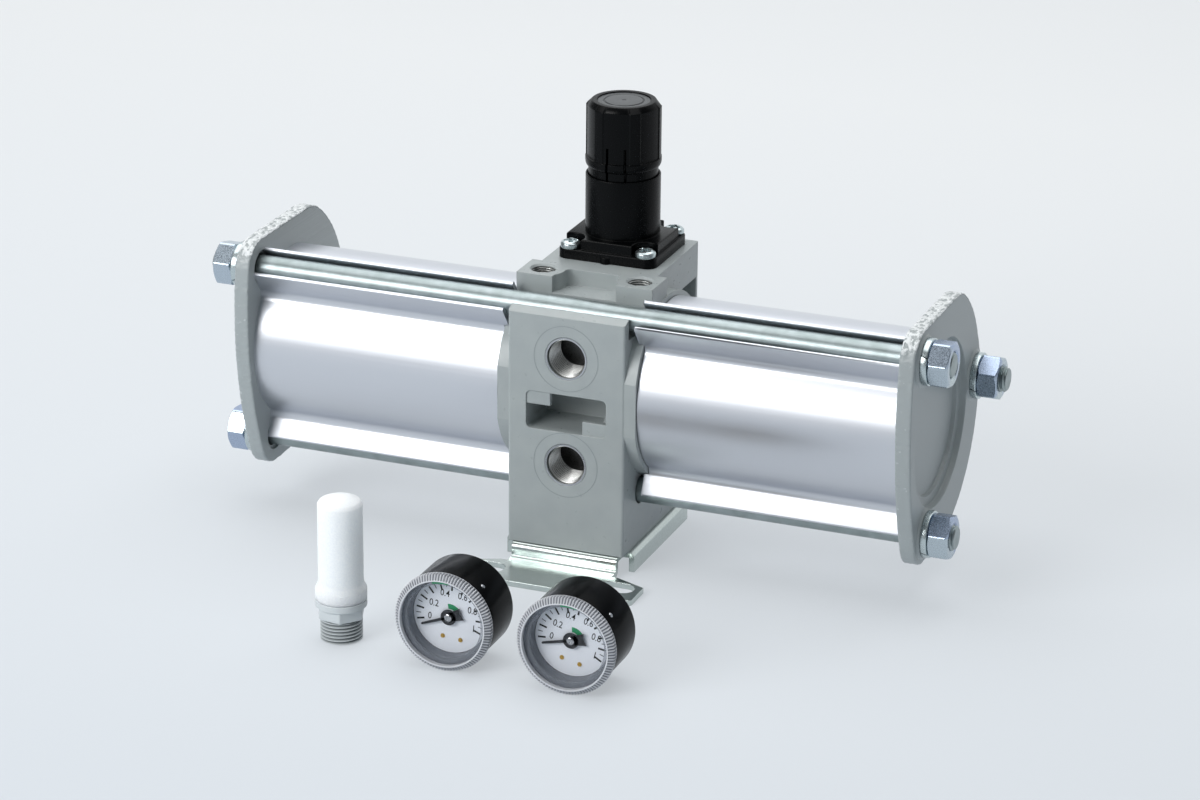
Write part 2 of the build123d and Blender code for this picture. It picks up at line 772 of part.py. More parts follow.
def body_casting():
    shape = body_blank()
    for side in (-1, 1):
        socket = tube_spigot_radius + socket_gap
        shape -= rod_x((0, 0), socket, side * socket_floor, side * (collar_reach + past))
        depth = collar_mouth + past
        mouth = [(0, 0), (0, socket), (depth, socket + depth), (depth, 0)]
        start = side * (collar_reach - collar_mouth)
        shape -= turned(mouth, (start, 0, axis_height), (side, 0, 0))
    for place in (rear_tie, upper_tie, lower_tie):
        reach = shelf_half_width + past
        shape -= rod_x(place, tie_rod_radius + rod_hole_gap, -reach, reach)
    shape -= front_window()
    front = -body_front
    shape -= port(0, front, axis_height + inlet_height, port_radius, port_depth, (0, 1, 0))
    shape -= port(0, front, axis_height + outlet_height, port_radius, port_depth, (0, 1, 0))
    shape -= port(0, body_back, axis_height + exhaust_height, port_radius, port_depth, (0, -1, 0))
    port_floor = front + port_depth - past
    shape -= rod_y(0, inlet_height, port_passage_radius, port_floor, inlet_gallery[0])
    shape -= rod_y(0, outlet_height, port_passage_radius, port_floor, outlet_gallery[0])
    shape -= rod_y(0, exhaust_height, exhaust_passage_radius, spool_place[0], body_back - port_depth + past)
    shape -= gallery_cuts(inlet_gallery)
    shape -= gallery_cuts(outlet_gallery)
    through = socket_floor + past
    shape -= rod_x((0, 0), bush_radius + static_gap, -through, through)
    for side in (-1, 1):
        seal_start = side * (socket_floor - rod_seal_length)
        shape -= rod_x((0, 0), rod_seal_radius + static_gap, seal_start, side * through)
    shape -= rod_x(spool_place, sleeve_radius + static_gap, -through, through)
    shape -= governor_cuts()
    shape -= shelf_cuts()
    for x, y in bracket_screw_places():
        hole_top = bracket_rise + bracket_screw_depth
        shape -= rod_z(x, y, bracket_screw_radius + static_gap, bracket_rise - past, hole_top)
    return shape


def governor_cuts():
    """Round steps under the regulator: diaphragm room, seat thread, poppet room."""
    back = governor_back
    seat_floor = room_floor - seat_height
    cuts = rod_z(0, back, diaphragm_radius + static_gap, block_top - diaphragm_thickness, block_top + past)
    cuts += rod_z(0, back, diaphragm_room_radius, room_floor, block_top)
    cuts += rod_z(0, back, seat_radius + static_gap, seat_floor, block_top)
    cuts += rod_z(0, back, poppet_room_radius, seat_floor - poppet_room_depth, seat_floor + past)
    for x, y in bonnet_screw_places():
        hole_floor = block_top - bonnet_screw_depth
        cuts += rod_z(x, y, bonnet_screw_radius + static_gap, hole_floor, block_top + past)
    return cuts


def shelf_cuts():
    """The gauge ports, and the recess that leaves a round boss about each of them."""
    depth = shelf_front + past - shelf_recess_back
    outline = Pos(0, -shelf_recess_back - depth / 2) * Rectangle(2 * shelf_recess_half_width, depth)
    for side in (-1, 1):
        outline -= Pos(side * gauge_port_spread, -gauge_port_front) * Circle(gauge_boss_radius)
    inner = [v for v in outline.vertices() if abs(v.Y + shelf_recess_back) < 0.01]
    outline = fillet(inner, shelf_recess_fillet)
    floor = block_top - shelf_recess_depth
    cuts = extrude(Pos(0, 0, floor) * outline, amount=shelf_recess_depth + past)
    for side in (-1, 1):
        x = side * gauge_port_spread
        cuts += port(x, -gauge_port_front, block_top, gauge_port_radius, gauge_port_depth, (0, 0, -1))
    return cuts


def bonnet_screw_places():
    spread = bonnet_screw_spread
    return [(sx * spread, governor_back + sy * spread) for sx in (-1, 1) for sy in (-1, 1)]


def bracket_screw_places():
    return [(sx * bracket_screw_x, sy * bracket_screw_y) for sx in (-1, 1) for sy in (-1, 1)]


def rod_bush():
    length = min(bush_half_length, socket_floor - rod_seal_length)
    return ring(rod_radius + running_gap, bush_radius, -length, length, (0, 0, axis_height), (1, 0, 0))


def rod_seals():
    """A grooved seal at each end of the bush, lips towards its cylinder."""
    seals = []
    for side in (-1, 1):
        start, end = socket_floor - rod_seal_length, socket_floor
        inner, outer = rod_radius + running_gap, rod_seal_radius
        middle = (inner + outer) / 2
        points = [(start, inner), (start, outer), (end, outer), (end, middle + rod_seal_lip)]
        points += [(end - rod_seal_groove, middle), (end, middle - rod_seal_lip), (end, inner)]
        seals.append(turned(points, (0, 0, axis_height), (side, 0, 0)))
    return Compound(children=seals)


def check_discs(place):
    """Rubber discs over the three gallery holes, one in each cylinder."""
    discs = []
    for side in (-1, 1):
        origin = (side * socket_floor, place[0], axis_height + place[1])
        hole = check_screw_radius + static_gap
        discs.append(ring(hole, check_disc_radius, 0, check_disc_thickness, origin, (side, 0, 0)))
    return Compound(children=discs)


def check_retainers():
    """The four small screws that hold the discs by their middles."""
    screws = []
    for place in (inlet_gallery, outlet_gallery):
        for side in (-1, 1):
            start = check_disc_thickness
            points = [(-check_screw_depth, 0), (-check_screw_depth, check_screw_radius)]
            points += [(start, check_screw_radius)]
            points += [(start, check_head_radius), (start + check_head_height, check_head_radius)]
            points += [(start + check_head_height, 0)]
            origin = (side * socket_floor, place[0], axis_height + place[1])
            screws.append(turned(points, origin, (side, 0, 0)))
    return Compound(children=screws)


def valve_sleeve():
    """Ported sleeve pressed into the body; four rings seal it between the ports."""
    half = socket_floor - end_bush_length
    groove_floor_radius = sleeve_radius - o_ring_section
    sleeve = rod_x(spool_place, sleeve_radius, -half, half)
    sleeve -= rod_x(spool_place, spool_radius + running_gap, -half - past, half + past)
    for x in o_ring_places():
        outline = Circle(sleeve_radius + past) - Circle(groove_floor_radius)
        width = o_ring_section / 2 + groove_gap
        sleeve -= across(Pos(*spool_place) * outline, x - width, x + width)
    for step in (-1, 0, 1):
        x = step * spool_pitch
        reach = sleeve_radius + past
        sleeve -= rod_y(x, spool_place[1], sleeve_port_radius, spool_place[0] - reach, spool_place[0] + reach)
    return sleeve


def o_ring_places():
    return [step * spool_pitch / 2 for step in (-3, -1, 1, 3)]


def sleeve_o_rings():
    rings = []
    half = o_ring_section / 2
    for x in o_ring_places():
        origin = (x, spool_place[0], axis_height + spool_place[1])
        rings.append(ring(sleeve_radius - o_ring_section, sleeve_radius, -half, half, origin, (1, 0, 0)))
    return Compound(children=rings)


def sleeve_end_bushes():
    bushes = []
    for side in (-1, 1):
        start = socket_floor - end_bush_length
        origin = (0, spool_place[0], axis_height + spool_place[1])
        bore = push_rod_radius + running_gap
        bushes.append(ring(bore, sleeve_radius, start, socket_floor, origin, (side, 0, 0)))
    return Compound(children=bushes)


def switch_spool():
    """Three landed spool with a push rod reaching into each cylinder."""
    spool = rod_x(spool_place, spool_waist_radius, -spool_pitch, spool_pitch)
    for step in (-1, 0, 1):
        x = step * spool_pitch
        spool += rod_x(spool_place, spool_radius, x - spool_land / 2, x + spool_land / 2)
    spool += rod_x(spool_place, push_rod_radius, -push_rod_reach, push_rod_reach)
    return spool


def piston_rod():
    half = [(0, 0), (0, rod_radius), (rod_shoulder, rod_radius), (rod_shoulder, rod_thread_radius)]
    half += [(rod_end - thread_chamfer, rod_thread_radius), (rod_end, rod_thread_radius - thread_chamfer)]
    half += [(rod_end, 0)]
    origin = (0, 0, axis_height)
    return turned(half, origin, (1, 0, 0)) + turned(half, origin, (-1, 0, 0))


def seal_stations():
    """Where the two piston seals and the wear ring sit, from the piston's inner face."""
    last = piston_length - seal_margin - seal_width
    middle = (piston_length - wear_ring_width) / 2
    return seal_margin, middle, last


def piston(side):
    """A piston with two seal grooves, a wear ring groove and a lightening recess."""
    first, middle, last = seal_stations()
    crown = bore_radius - piston_gap
    seal_floor = crown - seal_depth
    wear_floor = crown - wear_ring_depth
    hub = rod_radius + piston_hub_wall
    web = seal_floor - piston_rim_wall
    recess = piston_length - piston_outer_recess
    bore = rod_thread_radius + static_gap
    points = [(piston_web_recess, bore), (piston_web_recess, rod_radius + static_gap)]
    points += [(0, rod_radius + static_gap), (0, crown), (first, crown), (first, seal_floor)]
    points += [(first + seal_width, seal_floor), (first + seal_width, crown)]
    points += [(middle, crown), (middle, wear_floor), (middle + wear_ring_width, wear_floor)]
    points += [(middle + wear_ring_width, crown), (last, crown), (last, seal_floor)]
    points += [(last + seal_width, seal_floor), (last + seal_width, crown)]
    points += [(piston_length, crown), (piston_length, web), (recess, web)]
    points += [(recess, hub), (piston_length, hub), (piston_length, bore)]
    return turned(points, (side * piston_inner_face, 0, axis_height), (side, 0, 0))


def piston_seals():
    """Four lip seals, two to a piston, back to back."""
    first, _, last = seal_stations()
    inner = bore_radius - piston_gap - seal_depth
    seals = []
    for side in (-1, 1):
        origin = (side * piston_inner_face, 0, axis_height)
        for start, lip in ((first, -1), (last, 1)):
            back = start + (seal_width if lip < 0 else 0)
            middle = (inner + guide_radius) / 2
            points = [(0, inner), (0, guide_radius), (seal_width, guide_radius)]
            points += [(seal_width, middle + seal_lip), (seal_lip_root, middle)]
            points += [(seal_width, middle - seal_lip), (seal_width, inner)]
            seals.append(turned([(back + lip * x, r) for x, r in points], origin, (side, 0, 0)))
    return Compound(children=seals)


def wear_rings():
    middle = seal_stations()[1]
    inner = bore_radius - piston_gap - wear_ring_depth
    rings = []
    start, end = middle + groove_gap, middle + wear_ring_width - groove_gap
    for side in (-1, 1):
        origin = (side * piston_inner_face, 0, axis_height)
        rings.append(ring(inner, guide_radius, start, end, origin, (side, 0, 0)))
    return Compound(children=rings)


def piston_nuts():
    nut = hex_nut(piston_nut_flats, piston_nut_height, rod_thread_radius + static_gap)
    right = Plane(origin=(piston_outer_face, 0, axis_height), x_dir=(0, 0, 1), z_dir=(1, 0, 0)) * nut
    return Compound(children=[right, mirror(right, Plane.YZ)])


def diaphragm():
    return rod_z(0, governor_back, diaphragm_radius, block_top - diaphragm_thickness, block_top)


def diaphragm_plate():
    """The washer on the diaphragm, dished to take the main spring."""
    top = block_top + diaphragm_plate_thickness
    plate = rod_z(0, governor_back, diaphragm_plate_radius, block_top, top)
    locator = regulator_spring_radius - regulator_wire
    return plate + rod_z(0, governor_back, locator, top, top + spring_locator)


def governor_seat():
    skirt = poppet_radius + poppet_side_gap
    points = [(0, skirt), (0, seat_radius), (seat_height, seat_radius)]
    points += [(seat_height, seat_hole_radius), (seat_skirt, seat_hole_radius), (seat_skirt, skirt)]
    return turned(points, (0, governor_back, room_floor - seat_height), (0, 0, 1))


def governor_valve():
    """The poppet under the seat, and its stem up to the diaphragm."""
    top = block_top - diaphragm_thickness - rest_gap
    valve = rod_z(0, governor_back, poppet_radius, poppet_top - poppet_height, poppet_top)
    return valve + rod_z(0, governor_back, stem_radius, poppet_top, top)


def governor_spring():
    """The light spring that lifts the poppet onto its seat."""
    bottom = room_floor - seat_height - poppet_room_depth
    height = poppet_top - poppet_height - bottom
    return coil(valve_spring_radius, valve_wire, height, valve_spring_turns, (0, governor_back, bottom))


def flange_shape():
    """The bonnet's foot: a flat plate, and above it a step notched round the four screws."""
    plate = RectangleRounded(flange_x, flange_y, flange_fillet)
    nub = Pos(0, -flange_y / 2) * Circle(flange_nub_radius)
    inset = 2 * flange_step_inset
    step = RectangleRounded(flange_x - inset, flange_y - inset, flange_fillet - flange_step_inset)
    for x, y in bonnet_screw_places():
        y -= governor_back
        step -= Pos(x, y) * Circle(screw_notch_radius)
        corner = Pos(x + math.copysign(screw_notch_radius, x), y + math.copysign(screw_notch_radius, y))
        step -= corner * Rectangle(2 * screw_notch_radius, 2 * screw_notch_radius)
    shape = extrude(plate + nub, amount=flange_plate)
    return shape + extrude(step, amount=flange_rise)


def bonnet():
    """Moulded spring housing: foot, tall barrel with a thin rim, and the spigot inside the knob."""
    origin = (0, governor_back, block_top)
    rim, shoulder = bonnet_height, bonnet_height - bonnet_rim_depth
    top = rim + bonnet_spigot_height
    rim_inside = bonnet_radius - bonnet_rim_wall
    points = [(0, 0), (0, bonnet_radius), (rim - bonnet_rim_chamfer, bonnet_radius)]
    points += [(rim, bonnet_radius - bonnet_rim_chamfer), (rim, rim_inside), (shoulder, rim_inside)]
    points += [(shoulder, bonnet_spigot_radius), (top, bonnet_spigot_radius), (top, 0)]
    shape = Pos(*origin) * flange_shape() + turned(points, origin, (0, 0, 1))
    shape -= rod_z(0, governor_back, bonnet_bore_radius, block_top - past, block_top + bonnet_bore_height)
    hole = screw_radius + running_gap
    shape -= rod_z(0, governor_back, hole, block_top, block_top + top + past)
    for x, y in bonnet_screw_places():
        low, high = block_top - past, block_top + flange_plate + past
        shape -= rod_z(x, y, bonnet_screw_radius + static_gap, low, high)
    return shape


def bonnet_screws():
    depth = bonnet_screw_depth + flange_plate - screw_end_margin
    screw = pan_screw(bonnet_head_radius, bonnet_head_height, bonnet_screw_radius, depth)
    copies = []
    for (x, y), turn in zip(bonnet_screw_places(), bonnet_screw_turns):
        copies.append(Pos(x, y, block_top + flange_plate) * Rot(0, 0, turn) * screw)
    return Compound(children=copies)


def spring_seat():
    """The nut on the adjusting screw; it rides down and squeezes the main spring."""
    low, high = seat_nut_top - seat_nut_height, seat_nut_top
    nut = rod_z(0, governor_back, seat_nut_radius, low, high)
    return nut - rod_z(0, governor_back, screw_radius + running_gap, low - past, high + past)


def regulator_spring():
    bottom = block_top + diaphragm_plate_thickness
    height = seat_nut_top - seat_nut_height - bottom
    return coil(regulator_spring_radius, regulator_wire, height, regulator_turns, (0, governor_back, bottom))


def adjusting_screw():
    """A long screw that only turns; its hexagon head drives the knob."""
    travel = screw_pitch * screw_turns
    bottom = seat_nut_top - seat_nut_height - travel - screw_end_margin
    screw = rod_z(0, governor_back, screw_radius, bottom, screw_top)
    start = Pos(0, governor_back, screw_top) * Rot(0, 0, knob_turn)
    head = extrude(start * hexagon(2 * screw_head_radius), amount=screw_head_height)
    return screw + head


def knob():
    """Pull up knob: hollow cup with sunk panels round its grip and a slimmer neck with two slits."""
    inside = bonnet_spigot_radius + rest_gap
    grip_start = knob_neck_height + knob_foot
    grip_radius = knob_radius - knob_grip_sink
    top = knob_neck_height + knob_height
    points = [(0, inside), (0, knob_neck_radius)]
    for step in range(knob_foot_steps + 1):
        angle = math.pi / 2 * step / knob_foot_steps
        height = knob_neck_height + knob_foot_round * (1 - math.cos(angle))
        points.append((height, knob_neck_radius + (knob_radius - knob_neck_radius) * math.sin(angle)))
    points += [(grip_start, knob_radius), (grip_start + knob_grip_sink, grip_radius)]
    points += [(top - knob_crown_height, grip_radius), (top, knob_crown_radius)]
    points += [(top, 0), (top - knob_roof, 0), (top - knob_roof, inside)]
    shape = turned(points, (0, 0, knob_base), (0, 0, 1))
    shape -= rod_z(0, 0, knob_cap_radius + static_gap, knob_top - knob_cap_recess, knob_top + past)
    shape += Pos(0, -governor_back, 0) * knob_hub(inside + past)
    for index in range(knob_panels):
        start = Pos(0, 0, knob_base + grip_start) * Rot(0, 0, 360 / knob_panels * index - 90)
        shape -= extrude(start * knob_panel(), amount=knob_height)
    front, back = -knob_radius - past, knob_slit_depth - knob_neck_radius
    for side in (-1, 1):
        x0 = side * knob_slit_spread - knob_slit_width / 2
        shape -= block(x0, x0 + knob_slit_width, front, back, knob_base - past, knob_base + knob_slit_height)
    return Pos(0, governor_back, 0) * Rot(0, 0, knob_turn) * shape


def knob_panel():
    """What is cut away for one sunk panel, seen from above, about the knob's axis towards +X."""
    middle = knob_radius - knob_grip_sink - knob_panel_sink
    outside = Pos(knob_radius, 0) * Rectangle(2 * (knob_radius - middle) + past, 2 * knob_panel_half_width)
    return outside - Pos(middle - knob_panel_curve, 0) * Circle(knob_panel_curve)


def knob_hub(radius):
    """The part of the knob that drives the screw, with a hexagon socket for its head."""
    low = screw_top + knob_hub_gap
    hub = rod_z(0, governor_back, radius, low, knob_top - knob_roof + past)
    socket = hexagon(2 * screw_head_radius + 2 * running_gap)
    return hub - extrude(Pos(0, governor_back, screw_top) * socket, amount=screw_head_height + knob_hub_gap)


def knob_cap():
    """The round insert in the knob's top, ringed and bare."""
    high = knob_top - knob_cap_sink
    cap = rod_z(0, governor_back, knob_cap_radius, knob_top - knob_cap_recess, high)
    outer = knob_cap_radius - knob_cap_rim
    groove = Circle(outer) - Circle(outer - knob_cap_ring)
    return cap - extrude(Pos(0, governor_back, high - knob_cap_sink) * groove, amount=past)


def bent_strip():
    """Half of the bracket's long section in (Y, Z): platform, bend down, bend out, foot."""
    half = bracket_length / 2
    top, low = bracket_rise, bracket_sheet
    inner = bend_face - bracket_sheet
    points = [(0, top), (bend_face, top), (bend_face, low), (half, low), (half, 0)]
    points += [(inner, 0), (inner, top - low), (0, top - low)]
    outline = make_face(Polyline(*points, close=True).edges())
    corners = {
        (bend_face, top): bend_radius + bracket_sheet,
        (bend_face, low): bend_radius,
        (inner, 0): bend_radius + bracket_sheet,
        (inner, top - low): bend_radius,
    }
    for (y, z), radius in corners.items():
        near = outline.vertices().sort_by_distance((y, z, 0))[0]
        outline = fillet(near, radius)
    return outline


def bracket_plan():
    """The bracket from above: platform, necks and eared feet."""
    flange = Rectangle(2 * neck_half_width, bracket_length)
    platform = Rectangle(2 * platform_half_width, flange_length)
    plan = flange + platform
    half = bracket_length / 2
    foot_start, ear_back = half - foot_depth, half - ear_depth
    for side in (-1, 1):
        flare = neck_half_width + neck_flare
        corners = [(-bracket_width / 2, ear_back), (-flare, foot_start), (flare, foot_start)]
        corners += [(bracket_width / 2, ear_back), (bracket_width / 2, half), (-bracket_width / 2, half)]
        foot = make_face(Polyline(*[(x, side * y) for x, y in corners], close=True).edges())
        outer = [v for v in foot.vertices() if abs(abs(v.Y) - half) < 0.01]
        plan += fillet(outer, ear_fillet)
    return plan


def slot_places():
    x, y = bracket_width / 2 - slot_inset, bracket_length / 2 - slot_inset
    return [(sx * x, sy * y) for sx in (-1, 1) for sy in (-1, 1)]


def bracket():
    """Foot bracket: a channel shaped platform with a foot bent down front and back."""
    width = bracket_width + 2 * past
    strip = Plane(origin=(-width / 2, 0, 0), x_dir=(0, 1, 0), z_dir=(1, 0, 0)) * bent_strip()
    sheet = extrude(strip, amount=width)
    sheet += mirror(sheet, Plane.XZ)
    sheet = sheet & extrude(bracket_plan(), amount=bracket_rise + past)
    outer, inner = platform_half_width, platform_half_width - bracket_sheet
    top = bracket_rise
    for side in (-1, 1):
        x0, x1 = sorted((side * inner, side * outer))
        sheet += block(x0, x1, -flange_length / 2, flange_length / 2, rest_gap, top)
    long = sheet.edges().filter_by(Axis.Y)
    rims = [e for e in long if e.center().Z > top - 0.01 and abs(e.center().X) > outer - 0.01]
    sheet = fillet(rims, bracket_sheet)
    for x, y in slot_places():
        outline = SlotOverall(slot_length, 2 * slot_half_width)
        sheet -= extrude(Pos(x, y, -past) * outline, amount=bracket_sheet + 2 * past)
    for x, y in bracket_screw_places():
        sheet -= rod_z(x, y, bracket_screw_radius + static_gap, 0, top + past)
    return sheet


def bracket_screws():
    depth = bracket_sheet + bracket_screw_depth - screw_end_margin
    screw = pan_screw(bracket_head_radius, bracket_head_height, bracket_screw_radius, depth)
    seat = bracket_rise - bracket_sheet
    return Compound(children=[Pos(x, y, seat) * Rot(180, 0, 0) * screw for x, y in bracket_screw_places()])


def silencer_base():
    """Moulded thread, wrench flats and collar, with a spigot inside the element."""
    x, y = silencer_place
    hex_top = silencer_thread_length + silencer_hex_height
    top = hex_top + silencer_collar_height
    points = [(0, silencer_bore), (0, silencer_thread_radius - silencer_thread_taper)]
    points += [(silencer_thread_length, silencer_thread_radius), (hex_top, silencer_thread_radius)]
    points += [(hex_top, silencer_collar_radius - edge_break), (hex_top + edge_break, silencer_collar_radius)]
    points += [(top, silencer_collar_radius), (top, element_bore)]
    points += [(top + silencer_spigot, element_bore), (top + silencer_spigot, silencer_bore)]
    base = turned(points, (x, y, 0), (0, 0, 1))
    nut = extrude(Pos(x, y, silencer_thread_length) * hexagon(silencer_flats), amount=silencer_hex_height)
    nut -= rod_z(x, y, silencer_thread_radius - past, 0, top)
    nut = nut & rod_z(x, y, silencer_collar_radius - edge_break / 2, 0, top)
    return base + nut


def silencer_element():
    """White porous tube, wider at its foot, with a domed closed end."""
    x, y = silencer_place
    foot = silencer_thread_length + silencer_hex_height + silencer_collar_height
    waist = foot + silencer_flare_height
    barrel = waist + silencer_shoulder
    crown = element_height - element_dome
    bore = element_bore + static_gap
    roof = crown - element_roof
    points = [(bore, foot), (silencer_flare_radius, foot), (silencer_flare_radius, waist)]
    points += [(element_radius, barrel), (element_radius, crown)]
    lower = Polyline(*points)
    dome = dome_arc(element_radius, crown, element_dome)
    inside = Polyline((0, element_height), (0, roof), (bore, roof), (bore, foot))
    outline = make_face(lower.edges() + [dome] + inside.edges())
    return Pos(x, y, 0) * revolve(Plane.XZ * outline, Axis.Z, 360)


def gauge_frame(place):
    """The gauge's own frame: X right, Y up on its dial, Z out of its face, rolled."""
    x, y, roll = place
    front = Plane(origin=(x, y, gauge_axis_height), x_dir=(1, 0, 0), z_dir=(0, -1, 0))
    return front * Rot(0, 0, -roll)


def gauge_turned(points):
    """A turned gauge piece; points are (distance behind the front, radius)."""
    return turned(points, (0, 0, 0), (0, 0, -1))


def gauge_case():
    """Black cup: back wall, side wall, and a spigot that carries the clear rim."""
    bowl = gauge_seat_radius - gauge_case_wall - gauge_spigot_wall
    dial_room = gauge_seat_radius - gauge_spigot_wall
    hole = gauge_block_radius + static_gap
    dial_back = gauge_dial_place + gauge_dial_thickness
    floor = gauge_case_depth - gauge_case_wall
    points = [(gauge_spigot_start, gauge_seat_radius), (gauge_rim_depth, gauge_seat_radius)]
    points += [(gauge_rim_depth, gauge_case_radius), (gauge_case_depth - edge_break, gauge_case_radius)]
    points += [(gauge_case_depth, gauge_case_radius - edge_break), (gauge_case_depth, hole), (floor, hole)]
    points += [(floor, bowl), (dial_back, bowl), (dial_back, dial_room), (gauge_spigot_start, dial_room)]
    return gauge_turned(points)


def gauge_rim():
    """Clear moulded front: sunk flat window and a rim that widens to the back, in one piece."""
    inner = gauge_seat_radius + static_gap
    window_back = gauge_window_sink + gauge_window
    end = gauge_rim_depth - rest_gap
    lip = gauge_seat_radius - gauge_spigot_wall
    points = [(gauge_window_sink, 0), (gauge_window_sink, lip), (0, lip + edge_break)]
    points += [(0, gauge_bezel_radius), (gauge_bezel_depth, gauge_rim_radius), (end, gauge_rim_radius)]
    points += [(end, inner), (window_back, inner), (window_back, 0)]
    return gauge_turned(points)


def gauge_dial():
    """The dial plate, pierced for the pointer shaft and its two screws, with the stop pin."""
    radius = gauge_seat_radius - gauge_spigot_wall - static_gap
    place, back = gauge_dial_place, gauge_dial_place + gauge_dial_thickness
    dial = ring(gauge_dial_hole, radius, place, back, (0, 0, 0), (0, 0, -1))
    for x in dial_screw_columns():
        dial -= gauge_bar(x, -dial_screw_drop, dial_screw_shank + static_gap, place - past, back + past)
    angle = math.radians(pointer_rest + pin_lag())
    x, y = stop_pin_circle * math.cos(angle), stop_pin_circle * math.sin(angle)
    return dial + gauge_bar(x, y, stop_pin_radius, gauge_pointer_place, back)


def dial_screw_columns():
    return (dial_screw_middle - dial_screw_spread, dial_screw_middle + dial_screw_spread)


def gauge_bar(x, y, radius, start, end):
    """A round bar along the gauge's axis, between two distances behind its front."""
    return extrude(Pos(x, y, -end) * Circle(radius), amount=end - start)


def pin_lag():
    """How far below the pointer the stop pin stands, so that the two just miss, in degrees."""
    clear = stop_pin_radius + pointer_arm_root + stop_pin_gap
    return math.degrees(math.asin(clear / stop_pin_circle))


def pointer():
    """A slim pointer with a round hub and a wide fishtail, on its shaft."""
    place = gauge_pointer_place
    tip = -gauge_pointer_tip
    arm = [(0, pointer_arm_root), (tip, pointer_arm_tip), (tip, -pointer_arm_tip), (0, -pointer_arm_root)]
    end = gauge_pointer_tail
    tail = [(0, pointer_tail_root), (end, pointer_tail_tip), (end - pointer_tail_notch, 0)]
    tail += [(end, -pointer_tail_tip), (0, -pointer_tail_root)]
    flat = Circle(gauge_pointer_hub)
    for points in (arm, tail):
        flat += make_face(Polyline(*points, close=True).edges())
    back = place + gauge_pointer_thickness
    blade = extrude(Pos(0, 0, -back) * flat, amount=gauge_pointer_thickness)
    front = place - pointer_cap_height
    profile = [(front, 0), (front, pointer_cap_top), (place, pointer_cap_foot)]
    profile += [(back, pointer_cap_foot), (back, 0)]
    cap = gauge_turned(profile)
    shaft = gauge_bar(0, 0, gauge_shaft_radius, gauge_block_start + gauge_shaft_seat, place)
    return Rot(0, 0, pointer_rest - 180) * (blade + cap + shaft)


def gauge_stem():
    """Brass socket: outside thread, the block in the case, and the arm that holds the tube."""
    shoulder = gauge_case_depth + rest_gap
    end = gauge_case_depth + gauge_stem_length
    points = [(gauge_block_start, 0), (gauge_block_start, gauge_block_radius), (shoulder, gauge_block_radius)]
    points += [(shoulder, gauge_stem_radius), (end - edge_break, gauge_stem_radius)]
    points += [(end, gauge_stem_radius - edge_break), (end, 0)]
    arm = Box(gauge_arm_width, bourdon_radius, 2 * gauge_arm_width)
    stem = gauge_turned(points) + Pos(0, -bourdon_radius / 2, -gauge_arm_place) * arm + dial_posts()
    shaft_end = gauge_block_start + gauge_shaft_seat + gauge_shaft_radius
    stem -= gauge_bar(0, 0, gauge_shaft_radius + running_gap, gauge_block_start - past, shaft_end)
    return stem - gauge_bar(0, 0, gauge_stem_bore, gauge_arm_place, end + past)


def dial_posts():
    """Two posts on a cross bar behind the dial; its screws go into them."""
    start = gauge_dial_place + gauge_dial_thickness
    middle = start + post_length - bar_thickness / 2
    bar = Box(2 * dial_screw_spread + bar_width, bar_width, bar_thickness)
    stalk = Box(bar_width, dial_screw_drop, bar_thickness)
    posts = Pos(dial_screw_middle, -dial_screw_drop, -middle) * bar
    posts += Pos(0, -dial_screw_drop / 2, -middle) * stalk
    for x in dial_screw_columns():
        posts += gauge_bar(x, -dial_screw_drop, post_radius, start, start + post_length)
        hole = dial_screw_shank + static_gap
        posts -= gauge_bar(x, -dial_screw_drop, hole, start - past, start + post_length + past)
    return posts


def bourdon_tube():
    """The curved spring tube that moves the pointer, from the socket's arm right round."""
    plane = Plane(origin=(bourdon_radius, 0, -gauge_arm_place), x_dir=(1, 0, 0), z_dir=(0, 1, 0))
    arm_edge = math.asin((gauge_arm_width / 2 + static_gap) / (bourdon_radius - bourdon_section))
    bent = revolve(plane * Circle(bourdon_section), Axis.Z, bourdon_sweep)
    return Rot(0, 0, math.degrees(arm_edge) - 90) * bent


def dial_screws():
    screws = []
    start, end = gauge_dial_place, gauge_dial_place + dial_screw_length
    for x in dial_screw_columns():
        front, brim = start - dial_screw_head, dial_screw_radius - dial_screw_head / 2
        points = [(front, 0), (front, brim), (start, dial_screw_radius)]
        points += [(start, dial_screw_shank), (end, dial_screw_shank), (end, 0)]
        screws.append(Pos(x, -dial_screw_drop, 0) * gauge_turned(points))
    return Compound(children=screws)


gauge_pieces = {
    "case": gauge_case,
    "rim": gauge_rim,
    "dial": gauge_dial,
    "pointer": pointer,
    "stem": gauge_stem,
    "bourdon_tube": bourdon_tube,
    "dial_screws": dial_screws,
}

